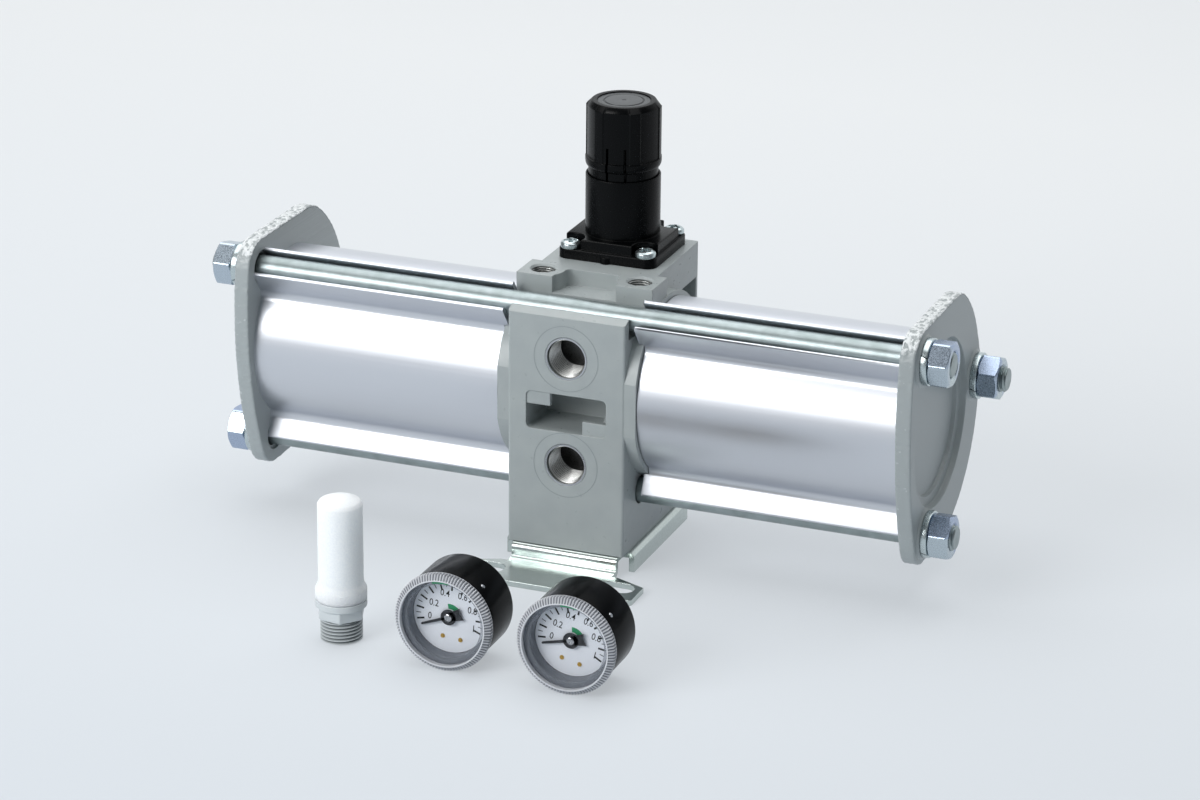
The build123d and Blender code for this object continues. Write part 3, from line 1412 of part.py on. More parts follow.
pieces = {
    "body_casting": body_casting,
    "tube_left": lambda: tube(-1),
    "tube_right": lambda: tube(1),
    "end_plate_left": lambda: end_plate(-1),
    "end_plate_right": lambda: end_plate(1),
    "tie_rod_rear": lambda: tie_rod(rear_tie, tie_rod_shifts[0]),
    "tie_rod_upper": lambda: tie_rod(upper_tie, tie_rod_shifts[1]),
    "tie_rod_lower": lambda: tie_rod(lower_tie, tie_rod_shifts[2]),
    "tie_rod_nuts": tie_rod_nuts,
    "spring_washers": spring_washers,
    "tube_gaskets": tube_gaskets,
    "rod_bush": rod_bush,
    "rod_seals": rod_seals,
    "inlet_check_discs": lambda: check_discs(inlet_gallery),
    "outlet_check_discs": lambda: check_discs(outlet_gallery),
    "check_retainers": check_retainers,
    "valve_sleeve": valve_sleeve,
    "sleeve_o_rings": sleeve_o_rings,
    "sleeve_end_bushes": sleeve_end_bushes,
    "switch_spool": switch_spool,
    "piston_rod": piston_rod,
    "piston_left": lambda: piston(-1),
    "piston_right": lambda: piston(1),
    "piston_seals": piston_seals,
    "wear_rings": wear_rings,
    "piston_nuts": piston_nuts,
    "diaphragm": diaphragm,
    "diaphragm_plate": diaphragm_plate,
    "governor_seat": governor_seat,
    "governor_valve": governor_valve,
    "governor_spring": governor_spring,
    "bonnet": bonnet,
    "bonnet_screws": bonnet_screws,
    "regulator_spring": regulator_spring,
    "spring_seat": spring_seat,
    "adjusting_screw": adjusting_screw,
    "knob": knob,
    "knob_cap": knob_cap,
    "bracket": bracket,
    "bracket_screws": bracket_screws,
    "silencer_base": silencer_base,
    "silencer_element": silencer_element,
}

os.makedirs("parts", exist_ok=True)
for name, make in pieces.items():
    export_step(make(), f"parts/{name}.step")
for side, place in (("left", gauge_left), ("right", gauge_right)):
    for name, make in gauge_pieces.items():
        export_step(gauge_frame(place) * make(), f"parts/gauge_{side}_{name}.step")
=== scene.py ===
import math

import bmesh
import bpy
import numpy as np
from mathutils import Matrix, Vector
from mathutils.geometry import tessellate_polygon


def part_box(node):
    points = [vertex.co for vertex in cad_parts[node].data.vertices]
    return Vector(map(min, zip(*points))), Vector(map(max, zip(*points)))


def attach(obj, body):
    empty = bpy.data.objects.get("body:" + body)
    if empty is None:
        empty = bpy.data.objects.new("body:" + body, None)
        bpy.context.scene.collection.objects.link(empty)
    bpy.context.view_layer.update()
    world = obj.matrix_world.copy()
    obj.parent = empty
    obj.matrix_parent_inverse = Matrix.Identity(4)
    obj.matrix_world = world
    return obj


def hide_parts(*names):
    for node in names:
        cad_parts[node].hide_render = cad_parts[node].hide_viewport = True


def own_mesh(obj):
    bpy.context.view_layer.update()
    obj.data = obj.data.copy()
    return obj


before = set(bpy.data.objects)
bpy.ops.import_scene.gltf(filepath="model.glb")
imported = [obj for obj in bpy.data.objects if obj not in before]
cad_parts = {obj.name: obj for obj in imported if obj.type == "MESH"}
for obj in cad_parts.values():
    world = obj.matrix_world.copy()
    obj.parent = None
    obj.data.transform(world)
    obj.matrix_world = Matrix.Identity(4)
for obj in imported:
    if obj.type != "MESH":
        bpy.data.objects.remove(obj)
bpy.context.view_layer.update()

# Sizes in millimetres, as in the CAD model: X along the cylinders, Y to the back, Z up.
TURN = 2 * np.pi
AXIS_HEIGHT = 68.0
TIE_CIRCLE = 41.65
TIE_ANGLES = [math.radians(6.87 + 120 * step) for step in range(3)]
TIE_PLACES = [(TIE_CIRCLE * math.cos(a), TIE_CIRCLE * math.sin(a)) for a in TIE_ANGLES]
REAR_TIE, UPPER_TIE, LOWER_TIE = TIE_PLACES
RIB_TIPS = (46.0, 46.0, 44.1)                # how far out the ribs reach, one for each rod
RIB_HALF, CHANNEL, RIB_LIP = 6.8, 5.3, 0.6   # half its width, its channel's radius, its rounding
TUBE_BORE = 31.5
COLLAR_END, TUBE_END = 28.5, 131.15          # along the axis from the middle
PLATE_OUTER, PAD_RISE, WASHER = 137.25, 0.9, 2.5   # the plate's face, its pads and a washer on them
BLOCK_FRONT, BLOCK_TOP = 34.8, 111.0
INLET, OUTLET, EXHAUST = 85.5, 42.5, 48.0    # heights of the pipe ports
PIPE_RADIUS, PIPE_PITCH = 7.95, 1.337
GAUGE_PORT, GAUGE_PITCH = (19.7, -9.0), 0.907   # from the middle, and the thread's pitch
REGULATOR_Y = 23.0
SCREW_SPOT = 15.35                           # the bonnet's screws, aside from its middle
SILENCER = (-51.6, -126.3)
GAUGE_PLACES = {"left": (-5.4, -142.6, 5.3), "right": (43.1, -144.5, 13.3)}   # x, y and roll in degrees
GAUGE_HEIGHT = 19.0
DIAL = -9.97                                 # the printed layer, below the front of the gauge


# Shapes. A part is (points, faces); points is an array of places, faces a list of corner numbers.

def grid_faces(rows, columns, wrap=False):
    """Quads over a grid of points that is numbered row by row; wrap closes each row."""
    row = np.arange(rows - 1)[:, None] * columns
    column = np.arange(columns if wrap else columns - 1)[None, :]
    after = (column + 1) % columns
    quads = np.stack([row + column, row + after, row + columns + after, row + columns + column], -1)
    return quads.reshape(-1, 4).tolist()


def join(*parts):
    """Several parts as one."""
    points, faces, start = [], [], 0
    for part_points, part_faces in parts:
        points.append(part_points)
        faces += [[corner + start for corner in face] for face in part_faces]
        start += len(part_points)
    return np.concatenate(points), faces


def placed(part, origin=(0, 0, 0), x_dir=(1, 0, 0), y_dir=(0, 1, 0), z_dir=(0, 0, 1)):
    """A part moved so that its own axes lie along three given directions from an origin."""
    axes = np.array([x_dir, y_dir, z_dir], float)
    return part[0] @ axes + np.array(origin, float), part[1]


def upside_down(part):
    """A part turned over about X."""
    return placed(part, y_dir=(0, -1, 0), z_dir=(0, 0, -1))


def spun(part, angle):
    """A part turned about Z, angle in radians."""
    c, s = math.cos(angle), math.sin(angle)
    return placed(part, x_dir=(c, s, 0), y_dir=(-s, c, 0))


def around(steps):
    """Angles in equal steps round a full turn."""
    return np.arange(steps) * TURN / steps


def at_angles(angle, radius, centre=(0, 0)):
    """Places on a circle: centre + radius (cos a, sin a)."""
    return np.stack([centre[0] + radius * np.cos(angle), centre[1] + radius * np.sin(angle)], -1)


def arc(centre, radius, start, end, steps):
    """Part of a circle, from start to end in degrees."""
    return at_angles(np.radians(np.linspace(start, end, steps + 1)), radius, centre)


def circle(radius, steps, centre=(0, 0)):
    """A closed circle."""
    return at_angles(around(steps), radius, centre)


def rounded(corners, radius, steps, closed=False):
    """A line of corners with each corner replaced by an arc that touches both its sides."""
    corners = np.array(corners, float)
    radii = np.broadcast_to(np.array(radius, float), (len(corners),))
    line = []
    for index, (corner, wanted) in enumerate(zip(corners, radii)):
        if wanted == 0 or not closed and index in (0, len(corners) - 1):
            line.append(corner[None])
            continue
        sides = corners[index - 1] - corner, corners[(index + 1) % len(corners)] - corner
        lengths = [np.linalg.norm(side) for side in sides]
        before, after = sides[0] / lengths[0], sides[1] / lengths[1]
        half = math.acos(float(np.clip(before @ after, -1, 1))) / 2
        reach = min(wanted / math.tan(half), 0.48 * lengths[0], 0.48 * lengths[1])
        actual = reach * math.tan(half)
        middle = (before + after) / np.linalg.norm(before + after)
        centre = corner + middle * actual / math.sin(half)
        first, last = corner + before * reach - centre, corner + after * reach - centre
        start = math.atan2(first[1], first[0])
        sweep = (math.atan2(last[1], last[0]) - start + math.pi) % TURN - math.pi
        line.append(at_angles(start + sweep * np.linspace(0, 1, steps + 1), actual, centre))
    return np.concatenate(line)


def rectangle(width, depth, radius, steps, centre=(0, 0)):
    """A closed rectangle with rounded corners."""
    signs = ((1, -1), (1, 1), (-1, 1), (-1, -1))
    corners = [(centre[0] + a * width / 2, centre[1] + b * depth / 2) for a, b in signs]
    return rounded(corners, radius, steps, closed=True)


def side_normals(outline):
    """Outward directions at the points of a closed counterclockwise outline, lengthened at corners."""
    ahead = np.roll(outline, -1, 0) - outline
    ahead = ahead / np.maximum(np.linalg.norm(ahead, axis=1, keepdims=True), 1e-9)
    out = np.stack([ahead[:, 1], -ahead[:, 0]], -1)
    before = np.roll(out, 1, 0)
    return (out + before) / np.maximum(1 + (out * before).sum(1, keepdims=True), 0.4)


def about_z(radius, angle, height):
    """The places (r cos t, r sin t, z)."""
    return np.stack([radius * np.cos(angle), radius * np.sin(angle), height], -1)


def field(radius, height, columns):
    """Surface about Z whose radius and height may change round it: arrays by rows and columns."""
    radius, height = np.broadcast_arrays(radius, height)
    points = about_z(radius, around(columns), height)
    return points.reshape(-1, 3), grid_faces(len(radius), columns, wrap=True)


def turned(profile, columns):
    """Surface of revolution: each (r, z) of the profile gives a ring."""
    profile = np.array(profile, float)
    return field(profile[:, :1], profile[:, 1:] + np.zeros(columns), columns)


def swept(points):
    """A section carried along a path, points by rows and columns, with both its ends closed."""
    rows, count, _ = points.shape
    ends = [list(range(count)), list(range((rows - 1) * count, rows * count))]
    return points.reshape(-1, 3), grid_faces(rows, count, wrap=True) + ends


def lathe(corners, steps=3, columns=120):
    """Surface of revolution whose profile's corners are (r, z) or (r, z, rounding)."""
    corners = [(*corner, 0)[:3] for corner in corners]
    profile = rounded([corner[:2] for corner in corners], [corner[2] for corner in corners], steps)
    return turned(profile, columns)


def walls(loops):
    """A skin over closed loops with the same number of points, each (n, 3)."""
    return np.concatenate(loops), grid_faces(len(loops), len(loops[0]), wrap=True)


def at_height(outline, z):
    """A flat line of (x, y) lifted to a height."""
    return np.column_stack([outline, np.full(len(outline), float(z))])


def lid(outline, z, holes=()):
    """The flat face inside an outline and outside its holes, at height z."""
    loops = [at_height(loop, z) for loop in (outline, *holes)]
    faces = tessellate_polygon([[Vector(p) for p in loop] for loop in loops])
    return np.concatenate(loops), [list(face) for face in faces]


def slab(outline, low, high, top_round=0.0, bottom_round=0.0, holes=()):
    """A plate between two heights: ring k of a rounding lies r (1 - cos a) inside and r sin a along."""
    normal = side_normals(outline)
    quarter = np.linspace(0, math.pi / 2, 5)
    loops = []
    for a in quarter[::-1] if bottom_round else [0.0]:
        inset = bottom_round * (1 - math.cos(a))
        loops.append(at_height(outline - inset * normal, low + bottom_round * (1 - math.sin(a))))
    for a in quarter if top_round else [0.0]:
        inset = top_round * (1 - math.cos(a))
        loops.append(at_height(outline - inset * normal, high - top_round * (1 - math.sin(a))))
    parts = [walls(loops), lid(loops[0][:, :2], low, holes), lid(loops[-1][:, :2], high, holes)]
    parts += [walls([at_height(hole, low), at_height(hole, high)]) for hole in holes]
    return join(*parts)


def smooth_step(value):
    """3 v^2 - 2 v^3, held between 0 and 1."""
    value = np.clip(value, 0, 1)
    return value * value * (3 - 2 * value)


def within(value, limit, soft):
    """1 where a value is below a limit and 0 above it, blended over the width soft."""
    return smooth_step((limit - value) / soft + 0.5)


def thread_part(radius, depth, pitch, low, high, columns, rows_per_turn, start_fade=0.0, end_chamfer=0.0):
    """Screw thread: r = radius - depth p(z / pitch - t / 2 pi), with p a V with narrow flats. It fades
    in from its low end, or runs out in a 45 degree chamfer at its high end."""
    rows = max(8, int((high - low) / pitch * rows_per_turn))
    z = np.linspace(low, high, rows)[:, None]
    t = np.arange(columns)[None, :] / columns
    wave = np.abs(2 * ((z / pitch - t) % 1.0) - 1)
    fade = np.clip((z - low) / start_fade, 0, 1) if start_fade else 1.0
    r = radius - depth * np.clip(1.3 * wave - 0.15, 0, 1) * fade
    if end_chamfer:
        r = np.minimum(r, radius - end_chamfer + np.abs(high - z))
    return field(r, z + 0 * t, columns)


def groove_share(thread, radius, depth):
    """How deep each point of a thread lies in its groove: 0 on the crests, 1 at the bottom."""
    return np.clip((radius - np.linalg.norm(thread[0][:, :2], axis=1)) / depth, 0, 1)


def noise_line(count, seed):
    """A repeatable bumpy closed line: a sum of 24 sines of chance pitch, between about -1 and 1."""
    waves = 24
    chance = np.random.default_rng(seed)
    order = chance.integers(3, 140, waves)[None, :]
    t = around(count)[:, None]
    return (np.sin(order * t + chance.uniform(0, TURN, waves)) / np.sqrt(waves)).sum(1)


# Materials. A pattern is a noise's lump size in millimetres, with its detail and the stretch of its
# axes where they matter, or BLEND: an attribute, from 0 to 1, that each point of a piece carries.

BLEND = "blend"


def linear(text):
    """A colour such as "A3ABAB", as it is seen on a screen, in the linear values that Blender uses."""
    value = np.array([int(text[i:i + 2], 16) for i in (0, 2, 4)]) / 255
    value = np.where(value <= 0.04045, value / 12.92, ((value + 0.055) / 1.055) ** 2.4)
    return (*value.tolist(), 1.0)


def feed(tree, node, sockets):
    """Gives a node its inputs by name or number: a value, a colour as text, or a node's output."""
    for key, value in sockets.items():
        if isinstance(value, bpy.types.NodeSocket):
            tree.links.new(value, node.inputs[key])
        else:
            node.inputs[key].default_value = linear(value) if isinstance(value, str) else value


def add(tree, kind, sockets=None, out=0, **settings):
    """Adds one shader node with its settings and links, and returns one of its outputs."""
    node = tree.nodes.new(kind)
    for key, value in settings.items():
        setattr(node, key, value)
    feed(tree, node, sockets or {})
    return node.outputs[out]


def noise(tree, size, detail=3.0, stretch=(1, 1, 1)):
    """Noise over the place on the object, with lumps about size millimetres wide."""
    place = add(tree, "ShaderNodeTexCoord", out="Object")
    place = add(tree, "ShaderNodeMapping", {"Vector": place, "Scale": [1000 * s for s in stretch]})
    return add(tree, "ShaderNodeTexNoise", {"Vector": place, "Scale": 1 / size, "Detail": detail})


def ranged(tree, pattern, low=0.0, high=1.0):
    """A pattern taken to low..high, a noise from its usual 0.3..0.7 and the blend from 0..1."""
    if pattern == BLEND:
        source, start, end = add(tree, "ShaderNodeAttribute", out="Fac", attribute_name=BLEND), 0.0, 1.0
    else:
        source, start, end = noise(tree, *pattern), 0.3, 0.7
    sockets = {"Value": source, "From Min": start, "From Max": end, "To Min": low, "To Max": high}
    return add(tree, "ShaderNodeMapRange", sockets)


def relieved(tree, height, depth, strength, edge=0.0):
    """Fine relief, depth in millimetres. edge rounds off sharp edges to that radius in the shading."""
    sockets = {"Height": height, "Distance": depth * 0.001, "Strength": strength}
    if edge:
        sockets["Normal"] = add(tree, "ShaderNodeBevel", {"Radius": edge * 0.001}, samples=6)
    return add(tree, "ShaderNodeBump", sockets)


def surface(name, colour, roughness, metallic=0.0, relief=None, edge=0.0, **more):
    """A material with its one surface shader. colour and roughness are a value, or a pattern and the
    two values it runs between. relief is a pattern, its depth in millimetres and its strength. more
    gives further sockets of the shader."""
    material = bpy.data.materials.new(name)
    material.use_nodes = True
    tree = material.node_tree
    linked = {}
    if isinstance(colour, tuple):
        pattern, colour, second = colour
        sockets = {0: ranged(tree, pattern), 6: colour, 7: second}
        linked["Base Color"] = add(tree, "ShaderNodeMix", sockets, 2, data_type="RGBA")
    if isinstance(roughness, tuple):
        pattern, roughness, highest = roughness
        linked["Roughness"] = ranged(tree, pattern, roughness, highest)
    if relief:
        pattern, depth, strength = relief
        linked["Normal"] = relieved(tree, noise(tree, *pattern), depth, strength, edge)
    more = {key.replace("_", " "): value for key, value in more.items()}
    plain = {"Base Color": colour, "Roughness": roughness, "Metallic": metallic, **more}
    feed(tree, tree.nodes["Principled BSDF"], plain)
    feed(tree, tree.nodes["Principled BSDF"], linked)
    return material


def metal(name, colour, roughness):
    """Turned or ground metal, mostly of the inner works, with fine tool marks."""
    marks = (0.3,)
    return surface(name, colour, (marks, roughness * 0.8, roughness * 1.3), 1.0, (marks, 0.008, 0.5))


def moulded(name, colour, roughness, grain=0.6, depth=0.02, edge=0.0, **more):
    """Moulded or printed: a fine texture of its grain, in millimetres, breaks up the reflections."""
    texture = (grain,)
    return surface(name, colour, (texture, roughness * 0.85, roughness * 1.2), 0.0, (texture, depth, 0.5),
                   edge, **more)


def torn_paint_and_highlight():
    """The casting's grey paint over the end plates' sheared rims. Where the blend is high it lies in bright
    wrinkles over the torn edge, partly torn paint and partly a painted highlight; elsewhere only a few
    small burrs show."""
    material = surface("grey paint over a sheared edge", "9DA4A6", (BLEND, 0.36, 0.2))
    tree = material.node_tree
    rim = add(tree, "ShaderNodeAttribute", out="Fac", attribute_name=BLEND)
    torn = noise(tree, 1.6, 4.0, (1, 0.6, 1))
    level = add(tree, "ShaderNodeMath", {0: rim, 1: 0.34, 2: torn}, operation="MULTIPLY_ADD")
    # Pale chips: partly torn paint, partly a painted highlight on the rim's upper side.
    chips_and_highlight = add(tree, "ShaderNodeMapRange", {"Value": level, "From Min": 0.77, "From Max": 0.84})
    where = add(tree, "ShaderNodeMath", {0: rim, 1: chips_and_highlight}, operation="MULTIPLY")
    tone = add(tree, "ShaderNodeMix", {0: where, 6: "A1A8A9", 7: "E2E6E7"}, 2, data_type="RGBA")
    strong = add(tree, "ShaderNodeMath", {0: rim, 1: rim}, operation="MULTIPLY")
    wrinkles = add(tree, "ShaderNodeMath", {0: strong, 1: torn}, operation="MULTIPLY")
    sockets = {"Base Color": tone, "Normal": relieved(tree, wrinkles, 1.2, 1.0, edge=0.3)}
    feed(tree, tree.nodes["Principled BSDF"], sockets)
    return material


def studio_paper():
    """Pale paper under and behind the object. Seen directly or in a reflection it glows a little,
    so that its shadows stay as soft as in a light tent."""
    material = surface("pale studio paper", "D8DFE6", 0.9, Specular_IOR_Level=0.0)
    tree = material.node_tree
    rays = [add(tree, "ShaderNodeLightPath", out=ray)
            for ray in ("Is Camera Ray", "Is Glossy Ray", "Is Transmission Ray")]
    seen = add(tree, "ShaderNodeMath", {0: rays[0], 1: rays[1]}, operation="ADD")
    seen = add(tree, "ShaderNodeMath", {0: seen, 1: rays[2]}, operation="ADD", use_clamp=True)
    y = add(tree, "ShaderNodeSeparateXYZ", {0: add(tree, "ShaderNodeTexCoord", out="Object")}, "Y")
    # Painted light: the paper brightens towards the back, and further back still its glow grows, where the
    # metal reflects it.
    back = add(tree, "ShaderNodeMapRange", {"Value": y, "From Min": -0.45, "From Max": 0.6})
    paper = add(tree, "ShaderNodeMix", {0: back, 6: "D8DFE6", 7: "EEF1F3"}, 2, data_type="RGBA")
    shade = add(tree, "ShaderNodeMix", {0: 0.58, 6: paper, 7: "000000"}, 2, data_type="RGBA")
    rise = {"Value": y, "From Min": 0.9, "From Max": 1.6, "To Min": 0.56, "To Max": 0.85}
    bright = add(tree, "ShaderNodeMapRange", rise)
    glow = add(tree, "ShaderNodeEmission", {"Color": paper, "Strength": bright})
    matt = add(tree, "ShaderNodeBsdfDiffuse", {"Color": shade})
    direct = add(tree, "ShaderNodeAddShader", {0: matt, 1: glow})
    plain = tree.nodes["Principled BSDF"].outputs["BSDF"]
    mix = add(tree, "ShaderNodeMixShader", {0: seen, 1: plain, 2: direct})
    tree.links.new(mix, tree.nodes["Material Output"].inputs["Surface"])
    return material


# Satin grey paint on a die casting: a soft orange peel breaks up its reflections.
paint = surface("satin grey paint on die casting", ((9.0,), "A0A7A8", "A6ADAD"), ((2.5,), 0.27, 0.38), 0.0,
                ((0.9, 2.0), 0.02, 0.5), 0.5)
rim_paint_and_highlight = torn_paint_and_highlight()
# Satin anodised extrusion: long fine die lines along X spread its reflections sideways.
die_lines = (0.5, 1.0, (0.004, 1, 1))
aluminium = surface("satin anodised aluminium extrusion", "D2D5DB", (die_lines, 0.34, 0.39), 1.0,
                    (die_lines, 0.002, 0.3))
# Bright zinc plate: its passivation tints one flat of a nut bluish and the next faint green.
zinc = surface("bright zinc plated steel", (BLEND, "C0CBCD", "A3B2CE"), ((0.5, 4.0), 0.2, 0.36), 1.0,
               ((0.35,), 0.012, 0.7), 0.12)
# Zinc plated drawn bar: satin, with a cool grey tone and faint lines along the rod.
draw_lines = (0.4, 3.0, (0.15, 1, 1))
zinc_bar = surface("zinc plated drawn bar", ((6.0, 2.0), "8F9A9A", "A3ADAF"), (draw_lines, 0.34, 0.44), 1.0,
                   (draw_lines, 0.003, 0.3))
# Zinc plated sheet: bright, with the mottled grain of the rolled steel under the plating.
sheet_zinc = surface("zinc plated steel sheet", ((1.2, 5.0), "BCC5C2", "C6CECB"), ((0.8, 5.0), 0.16, 0.24),
                     1.0, ((0.9,), 0.004, 0.4), 0.4)
# Sintered porous resin: white grains with tiny pits between them, and light that goes in deep.
porous = surface("white sintered porous resin", ((0.7, 6.0), "EDF2FB", "F5F9FF"), 0.85, 0.0,
                 ((0.7, 6.0), 0.10, 0.6), Subsurface_Weight=0.8, Subsurface_Radius=(1, 1, 1),
                 Subsurface_Scale=0.008)
# Clear moulded polycarbonate of the ring behind the window: a grey haze with a few glints.
clear = surface("clear polycarbonate", "AEB5C0", ((3.0,), 0.05, 0.12), Alpha=0.42)
# Its toothed cone: each ridge is painted milky, a painted highlight of the light it scatters, and the
# grooves between them are painted dark, a painted shade.
toothed = surface("clear polycarbonate teeth", (BLEND, "F4F6FB", "5C626C"), ((1.0,), 0.1, 0.2),
                  Transmission_Weight=0.35, IOR=1.49)
# The thin flat window of a gauge: light passes nearly whole, and the rest glances off.
window = surface("clear flat window", "0A0C10", ((3.0,), 0.02, 0.06), Alpha=0.06)
# Grey moulded plastic, with painted shade down in the grooves of its thread: its colour darkens there,
# where less light gets in.
grey_plastic = surface("grey moulded plastic", (BLEND, "CBD1D3", "6A7072"), ((0.5,), 0.38, 0.54), 0.0,
                       ((0.5,), 0.02, 0.5), 0.2)
# Freshly cut aluminium thread: bright crests, and painted shade, a dark brown, down in the grooves and on
# the bore's floor.
cut_thread = surface("cut aluminium thread", (BLEND, "CFD0CE", "24211F"), ((0.3,), 0.24, 0.4), 1.0)
# Plastics, rubber, enamel and ink: each only a little matt, so that they stay deep in colour.
black = moulded("black satin moulded plastic", "040506", 0.28, 0.5, 0.012, edge=0.3, Specular_IOR_Level=0.1)
gloss = moulded("black gloss enamel", "030405", 0.2, 1.5, 0.01, Specular_IOR_Level=0.05)
cap_plastic = moulded("dark grey satin insert", "45484A", 0.38, 0.4)
rubber = moulded("black nitrile rubber", "151515", 0.6, 0.4)
white_plastic = moulded("white PTFE", "E8E8E6", 0.4, 0.5, 0.01)
dial_print = moulded("white printed dial", "F2F6FD", 0.35, 2.0, 0.004)
ink = moulded("black printing ink", "0C0D10", 0.5, 0.5, 0.003)
green_ink = moulded("green printing ink", "2E9A68", 0.5, 0.5, 0.003)
pointer_paint = moulded("dark grey enamel", "2A2D32", 0.4, depth=0.005)
# A thin ring round each front port, a little darker than the casting's paint.
mark_paint = moulded("paint line of the spot face", "8E9698", 0.4, 0.9, 0.01)
# Metals of the inner works, bright where they are ground and duller where they are turned.
machined = metal("turned aluminium", "DCDEE0", 0.28)
steel = metal("ground steel", "B9BBBF", 0.2)
spring_wire = metal("oiled spring steel", "8C8E92", 0.3)
brass = metal("turned brass", "CBA65A", 0.25)
bronze = metal("sintered bronze", "A9834A", 0.45)


# Pieces

def shown(name, data, material=None):
    """A new object in the scene for a mesh, lamp or camera."""
    if material:
        data.materials.append(material)
    thing = bpy.data.objects.new(name, data)
    bpy.context.scene.collection.objects.link(thing)
    return thing


def piece(name, part, material, body, nodes=(), sharp=32.0, blend=None):
    """Makes a mesh object from a part in millimetres and lets it ride on its CAD body. Edges over
    sharp degrees stay sharp, and blend is the value that each point carries for its material."""
    mesh = bpy.data.meshes.new(name)
    mesh.from_pydata((part[0] * 0.001).tolist(), [], part[1])
    if blend is not None:
        attribute = mesh.attributes.new(BLEND, "FLOAT", "POINT")
        attribute.data.foreach_set("value", np.asarray(blend, np.float32))
    work = bmesh.new()
    work.from_mesh(mesh)
    bmesh.ops.remove_doubles(work, verts=work.verts, dist=2e-6)
    bmesh.ops.dissolve_degenerate(work, edges=work.edges, dist=1e-7)
    bmesh.ops.recalc_face_normals(work, faces=work.faces)
    work.to_mesh(mesh)
    work.free()
    mesh.shade_smooth()
    mesh.set_sharp_from_angle(angle=math.radians(sharp))
    thing = shown(name, mesh, material)
    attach(thing, body)
    for node in nodes:
        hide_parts(node)
    return thing


def along_x(part, sign=1, x=0.0, place=(0.0, 0.0)):
    """A part drawn in (Y, Z) about the cylinders' axis, its own height along X or, by sign, along -X."""
    return placed(part, (x, place[0], AXIS_HEIGHT + place[1]), (0, 1, 0), (0, 0, 1), (sign, 0, 0))


def rib_half(tip, floor, foot):
    """Half a rib's outline beside its own axis: from the channel's floor over the lip to the foot."""
    mouth = rounded([floor[-1], (tip, CHANNEL), (tip, RIB_HALF), (foot, RIB_HALF)], RIB_LIP, 4)
    return np.concatenate([floor, mouth[1:]])


def turning(angle):
    """The matrix that turns rows of (x, y) by an angle."""
    return np.array([[math.cos(angle), math.sin(angle)], [-math.sin(angle), math.cos(angle)]])


def tube_outline():
    """Round tube with three ribs, each open outwards as a channel with a half round floor."""
    wall, root = 34.0, 4.0
    foot = math.sqrt((wall + root) ** 2 - (RIB_HALF + root) ** 2)
    floor = arc((TIE_CIRCLE, 0), CHANNEL, 180, 90, 14)
    lean = math.degrees(math.atan2(RIB_HALF + root, foot))
    root_arc = arc((foot, RIB_HALF + root), root, 270, 180 + lean, 10)
    side = arc((0, 0), wall, lean, 60, 14)
    loop = []
    for angle, tip in zip(TIE_ANGLES, RIB_TIPS):
        half = np.concatenate([rib_half(tip, floor, foot)[:-1], root_arc, side[1:-1]])
        loop.append(np.concatenate([half[:0:-1] * (1, -1), half, side[-1:]]) @ turning(angle))
    return np.concatenate(loop)


def rib_lips():
    """Outlines of the six rib lips that reach past the collar: what lies outside radius 36.4."""
    inner = 36.4
    foot = math.sqrt(inner ** 2 - RIB_HALF ** 2)
    cosine = (inner ** 2 - TIE_CIRCLE ** 2 - CHANNEL ** 2) / (2 * TIE_CIRCLE * CHANNEL)
    floor = arc((TIE_CIRCLE, 0), CHANNEL, math.degrees(math.acos(cosine)), 90, 10)
    halves = [(rib_half(tip, floor, foot), turning(angle)) for angle, tip in zip(TIE_ANGLES, RIB_TIPS)]
    return [side @ turn for half, turn in halves for side in (half[::-1], half * (1, -1))]


def tube_part():
    """Ribbed length, rib lips that start 1.9 before it, and the end turned down for the socket."""
    bore = circle(TUBE_BORE, 160)
    ribbed = slab(tube_outline(), COLLAR_END, TUBE_END, holes=[bore])
    spigot = slab(circle(33.0, 160), 23.5, COLLAR_END, holes=[bore])
    lips = [slab(outline, COLLAR_END - 1.9, COLLAR_END, bottom_round=0.2) for outline in rib_lips()]
    return join(ribbed, spigot, *lips)


def tangent(first, second):
    """Where an outline leaves one circle and meets the next: along (ra - rb) / gap, aside the rest."""
    (a, a_radius), (b, b_radius) = first, second
    a, b = np.array(a, float), np.array(b, float)
    gap = np.linalg.norm(b - a)
    ahead = (b - a) / gap
    lean = float(np.clip((a_radius - b_radius) / gap, -1, 1))
    out = lean * ahead + math.sqrt(1 - lean ** 2) * np.array([ahead[1], -ahead[0]])
    return a + a_radius * out, b + b_radius * out


